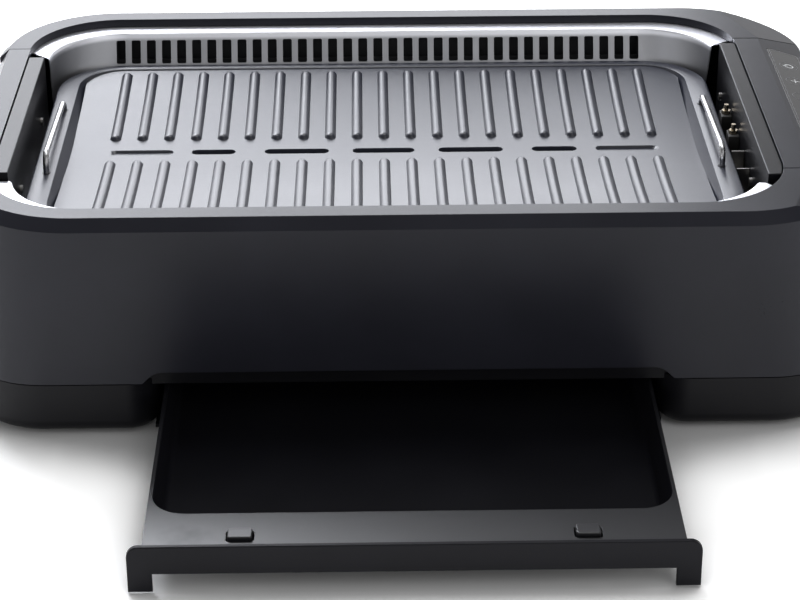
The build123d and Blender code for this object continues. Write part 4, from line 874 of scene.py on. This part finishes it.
def printed_line(places, width, closed=False):
    """A printed line of one width along places on the slope: each place moved half the width to either side."""
    places = np.asarray(places, dtype=float)
    if closed:
        places = np.concatenate([places, places[:1]])
    ahead = np.gradient(places, axis=0)
    if closed:
        ahead[0] = ahead[-1] = places[1] - places[-2]
    ahead /= np.linalg.norm(ahead, axis=1, keepdims=True)
    side = np.stack([-ahead[:, 1], ahead[:, 0]], axis=1) * width / 2
    points = np.concatenate([on_slope(places + side), on_slope(places - side)])
    return points, grid_quads(2, len(places))


def arc(middle, radius, start, end, steps=24):
    """Places on a circle between two angles in degrees, from the slope's downward direction."""
    turn = np.radians(np.linspace(start, end, steps))
    return np.asarray(middle) + radius * np.stack([np.cos(turn), np.sin(turn)], axis=1)


def panel_frame(inset, corner):
    """The panel's outline drawn in by inset: four corners, each rounded by a quarter turn's arc."""
    half, skewed = PANEL_HALF - inset, PANEL_HALF - PANEL_SKEW - inset
    near, out = PANEL_NEAR + inset, PANEL_OUT - inset
    corners = ((near, -half), (out, -skewed), (out, skewed), (near, half))
    places = []
    for number, here in enumerate(corners):
        before, after = np.array(corners[number - 1]), np.array(corners[(number + 1) % 4])
        path = [(*((here + before) / 2), 0), (*here, 0), (*((here + after) / 2), 0)]
        places.append(bent_path(path, corner)[1:-1, :2])
    return np.concatenate(places)


class GRILL_OT_signs(bpy.types.Operator):
    """Prints plain signs on the touch panel"""

    bl_idname = "grill.signs"
    bl_label = "Panel signs"

    def execute(self, context):
        width = context.scene.grill_sizes.line_width / MM
        outline = panel_frame(FRAME_INSET, FRAME_CORNER)
        faint = [printed_line(outline, width * FAINT_SHARE, closed=True)]
        for y in (POWER_Y, PLUS_Y, MINUS_Y):
            faint.append(printed_line(arc((PANEL_MIDDLE, y), RING_RADIUS, 0, 360, 48), width * FAINT_SHARE))
        lines = [
            printed_line(arc((PANEL_MIDDLE, POWER_Y), STROKE, *POWER_ARC), width),
            printed_line([(PANEL_MIDDLE + end, POWER_Y) for end in POWER_BAR], width),
        ]
        for y in (PLUS_Y, MINUS_Y):
            lines.append(printed_line([(PANEL_MIDDLE, y - STROKE), (PANEL_MIDDLE, y + STROKE)], width))
        lines.append(printed_line([(PANEL_MIDDLE - STROKE, PLUS_Y), (PANEL_MIDDLE + STROKE, PLUS_Y)], width))
        for number in range(LEVEL_COUNT):
            y, half = LEVEL_Y - LEVEL_PITCH * number, LEVEL_HALF + LEVEL_GROWTH * number
            mark = [(PANEL_MIDDLE - half, y), (PANEL_MIDDLE + half, y)]
            lines.append(printed_line(mark, width * LEVEL_SHARE))
        inks = (("panel_signs", lines, SIGN_INK), ("panel_rings", faint, RING_INK))
        for name, printed, shade in inks:
            piece = add_piece(name, mesh_from(name, *joined(printed)), "touch_panel", replaced=False)
            piece.data.materials[0] = printed_ink(name + "_ink", shade, INK_ROUGHNESS)
        return {"FINISHED"}


# Camera: place in metres, angles in degrees, focal length in the picture's dots
CAMERA_PLACE = (-0.023, -1.489, 0.760)
CAMERA_PITCH = 27.0
CAMERA_YAW = -0.78
CAMERA_ROLL = 0.27
CAMERA_FOCUS = 2390.0
PICTURE_WIDTH = 800.0
SENSOR_WIDTH = 36.0
# Softboxes: name, place, target, width and height in metres, power in watts, colour
COOL, WHITE = (0.92, 0.94, 1.0), (1.0, 1.0, 1.0)
SOFTBOXES = (
    ("low_back_box", (-0.81, 2.0, 0.97), (-0.81, 0.0, 0.97), (2.55, 1.15), 39.5, COOL),
    ("high_left_box", (-1.0, 2.0, 2.1), (-0.2, -0.2, 0.1), (1.45, 0.8), 72.0, COOL),
    ("top_box", (0.1, 0.5, 2.0), (0.0, 0.1, 0.0), (1.6, 1.0), 17.0, WHITE),
    ("front_fill", (1.1, -1.8, 1.9), (0.0, -0.1, 0.05), (1.8, 1.4), 8.0, WHITE),
)
# Floor: half its width, its height just under the feet, its finish
FLOOR_REACH, FLOOR_LEVEL = 30.0, -0.0003
FLOOR_ROUGHNESS, FLOOR_GLOSS = 0.7, 0.1
# The floor's glow where a ray sees it, and the reach in metres of the shadow that dims it beside the object
FLOOR_GLOW, SHADOW_REACH, SHADOW_RAYS = 0.6, 0.07, 16
# Shares of open air over the floor at the foot of a wall and clear of it, between which the glow comes up
OPEN_AT_WALL, OPEN_CLEAR = 0.5, 1.0
# Surround: its light at the horizon and overhead, and the rises between which the one fades into the other
HORIZON_LIGHT, UPPER_LIGHT, SKY_FADE = 0.95, 0.2, (0.1, 0.6)


def add_area(name, place, target, size, power, shade):
    """A rectangular softbox that faces its target."""
    light = bpy.data.lights.new(name, "AREA")
    light.shape = "RECTANGLE"
    light.size, light.size_y = size
    light.energy = power
    light.color = shade
    lamp = bpy.data.objects.new(name, light)
    lamp.location = place
    lamp.rotation_mode = "QUATERNION"
    lamp.rotation_quaternion = (Vector(target) - Vector(place)).to_track_quat("-Z", "Y")
    bpy.context.scene.collection.objects.link(lamp)


def add_camera():
    """The camera of the photograph: looks back and down, with its up direction rolled a little."""
    data = bpy.data.cameras.new("camera")
    data.sensor_width = SENSOR_WIDTH
    data.lens = CAMERA_FOCUS / PICTURE_WIDTH * SENSOR_WIDTH
    data.clip_end = 50.0
    camera = bpy.data.objects.new("camera", data)
    pitch, yaw, roll = np.radians((CAMERA_PITCH, CAMERA_YAW, CAMERA_ROLL))
    tilt = Matrix.Rotation(np.pi / 2 - pitch, 3, "X")
    turn = Matrix.Rotation(yaw, 3, "Z") @ tilt @ Matrix.Rotation(-roll, 3, "Z")
    camera.matrix_world = Matrix.Translation(CAMERA_PLACE) @ turn.to_4x4()
    bpy.context.scene.collection.objects.link(camera)
    bpy.context.scene.camera = camera


def seen_or_mirrored(finish):
    """1 where a ray comes from the camera, a mirror or glass."""
    outputs = ("Is Camera Ray", "Is Glossy Ray", "Is Transmission Ray")
    camera, glossy, transmission = (finish.node("ShaderNodeLightPath", output=output) for output in outputs)
    return (camera + glossy + transmission).clamped()


class Sky(Finish):
    """The studio's surround: a white wall round the horizon that fades into a dim ceiling."""

    def __init__(self, world):
        world.use_nodes = True
        self.tree = world.node_tree
        self.place = self.node("ShaderNodeTexCoord", output="Generated")
        rise = self.coordinate(Z_AXIS)
        shade = self.mix(rise.fade(*SKY_FADE), (HORIZON_LIGHT,) * 3, (UPPER_LIGHT,) * 3)
        self.put(self.tree.nodes["Background"], {"Color": shade, "Strength": 1.0})


class GRILL_OT_stage(bpy.types.Operator):
    """Adds the pale floor, its surround, the studio light and the camera"""

    bl_idname = "grill.stage"
    bl_label = "Stage"

    def execute(self, context):
        scene = context.scene
        corners = [(x, y, FLOOR_LEVEL) for x, y in ((-1, -1), (1, -1), (1, 1), (-1, 1))]
        corners = np.array(corners) * (FLOOR_REACH, FLOOR_REACH, 1.0)
        mesh = bpy.data.meshes.new("floor")
        mesh.from_pydata(corners.tolist(), [], [(0, 1, 2, 3)])
        floor = bpy.data.objects.new("floor", mesh)
        scene.collection.objects.link(floor)
        finish = Finish("floor")
        settings, sockets = {"samples": SHADOW_RAYS}, {"Distance": SHADOW_REACH}
        open_air = finish.node("ShaderNodeAmbientOcclusion", settings, sockets, "AO")
        glow = seen_or_mirrored(finish) * open_air.fade(OPEN_AT_WALL, OPEN_CLEAR) * FLOOR_GLOW
        material = finish.set(
            Base_Color=colour(scene.grill_colours.backdrop),
            Roughness=FLOOR_ROUGHNESS,
            Specular_IOR_Level=FLOOR_GLOSS,
            Emission_Color=finish.mix(glow, (0.0, 0.0, 0.0), (1.0, 1.0, 1.0)),
            Emission_Strength=1.0,
        )
        mesh.materials.append(material)
        scene.world = bpy.data.worlds.new("studio")
        Sky(scene.world)
        for softbox in SOFTBOXES:
            add_area(*softbox)
        add_camera()
        scene.view_settings.view_transform = "Standard"
        return {"FINISHED"}


class GRILL_PT_panel(bpy.types.Panel):
    """Lists the grill's steps and colours"""

    bl_idname = "GRILL_PT_panel"
    bl_label = "Smokeless grill"
    bl_space_type = "VIEW_3D"
    bl_region_type = "UI"
    bl_category = "Grill"

    def draw(self, context):
        for operator in OPERATORS:
            self.layout.operator(operator.bl_idname)
        for group in (context.scene.grill_colours, context.scene.grill_sizes):
            for name in type(group).__annotations__:
                self.layout.prop(group, name)


OPERATORS = (
    GRILL_OT_finishes,
    GRILL_OT_soft_edges,
    GRILL_OT_plate,
    GRILL_OT_handles,
    GRILL_OT_signs,
    GRILL_OT_stage,
)
CLASSES = (GrillColours, GrillSizes, *OPERATORS, GRILL_PT_panel)


def register():
    for item in CLASSES:
        bpy.utils.register_class(item)
    bpy.types.Scene.grill_colours = bpy.props.PointerProperty(type=GrillColours)
    bpy.types.Scene.grill_sizes = bpy.props.PointerProperty(type=GrillSizes)


def unregister():
    del bpy.types.Scene.grill_sizes
    del bpy.types.Scene.grill_colours
    for item in reversed(CLASSES):
        bpy.utils.unregister_class(item)


def main():
    register()
    for operator in OPERATORS:
        group, name = operator.bl_idname.split(".")
        getattr(getattr(bpy.ops, group), name)()


if __name__ == "__main__":
    main()
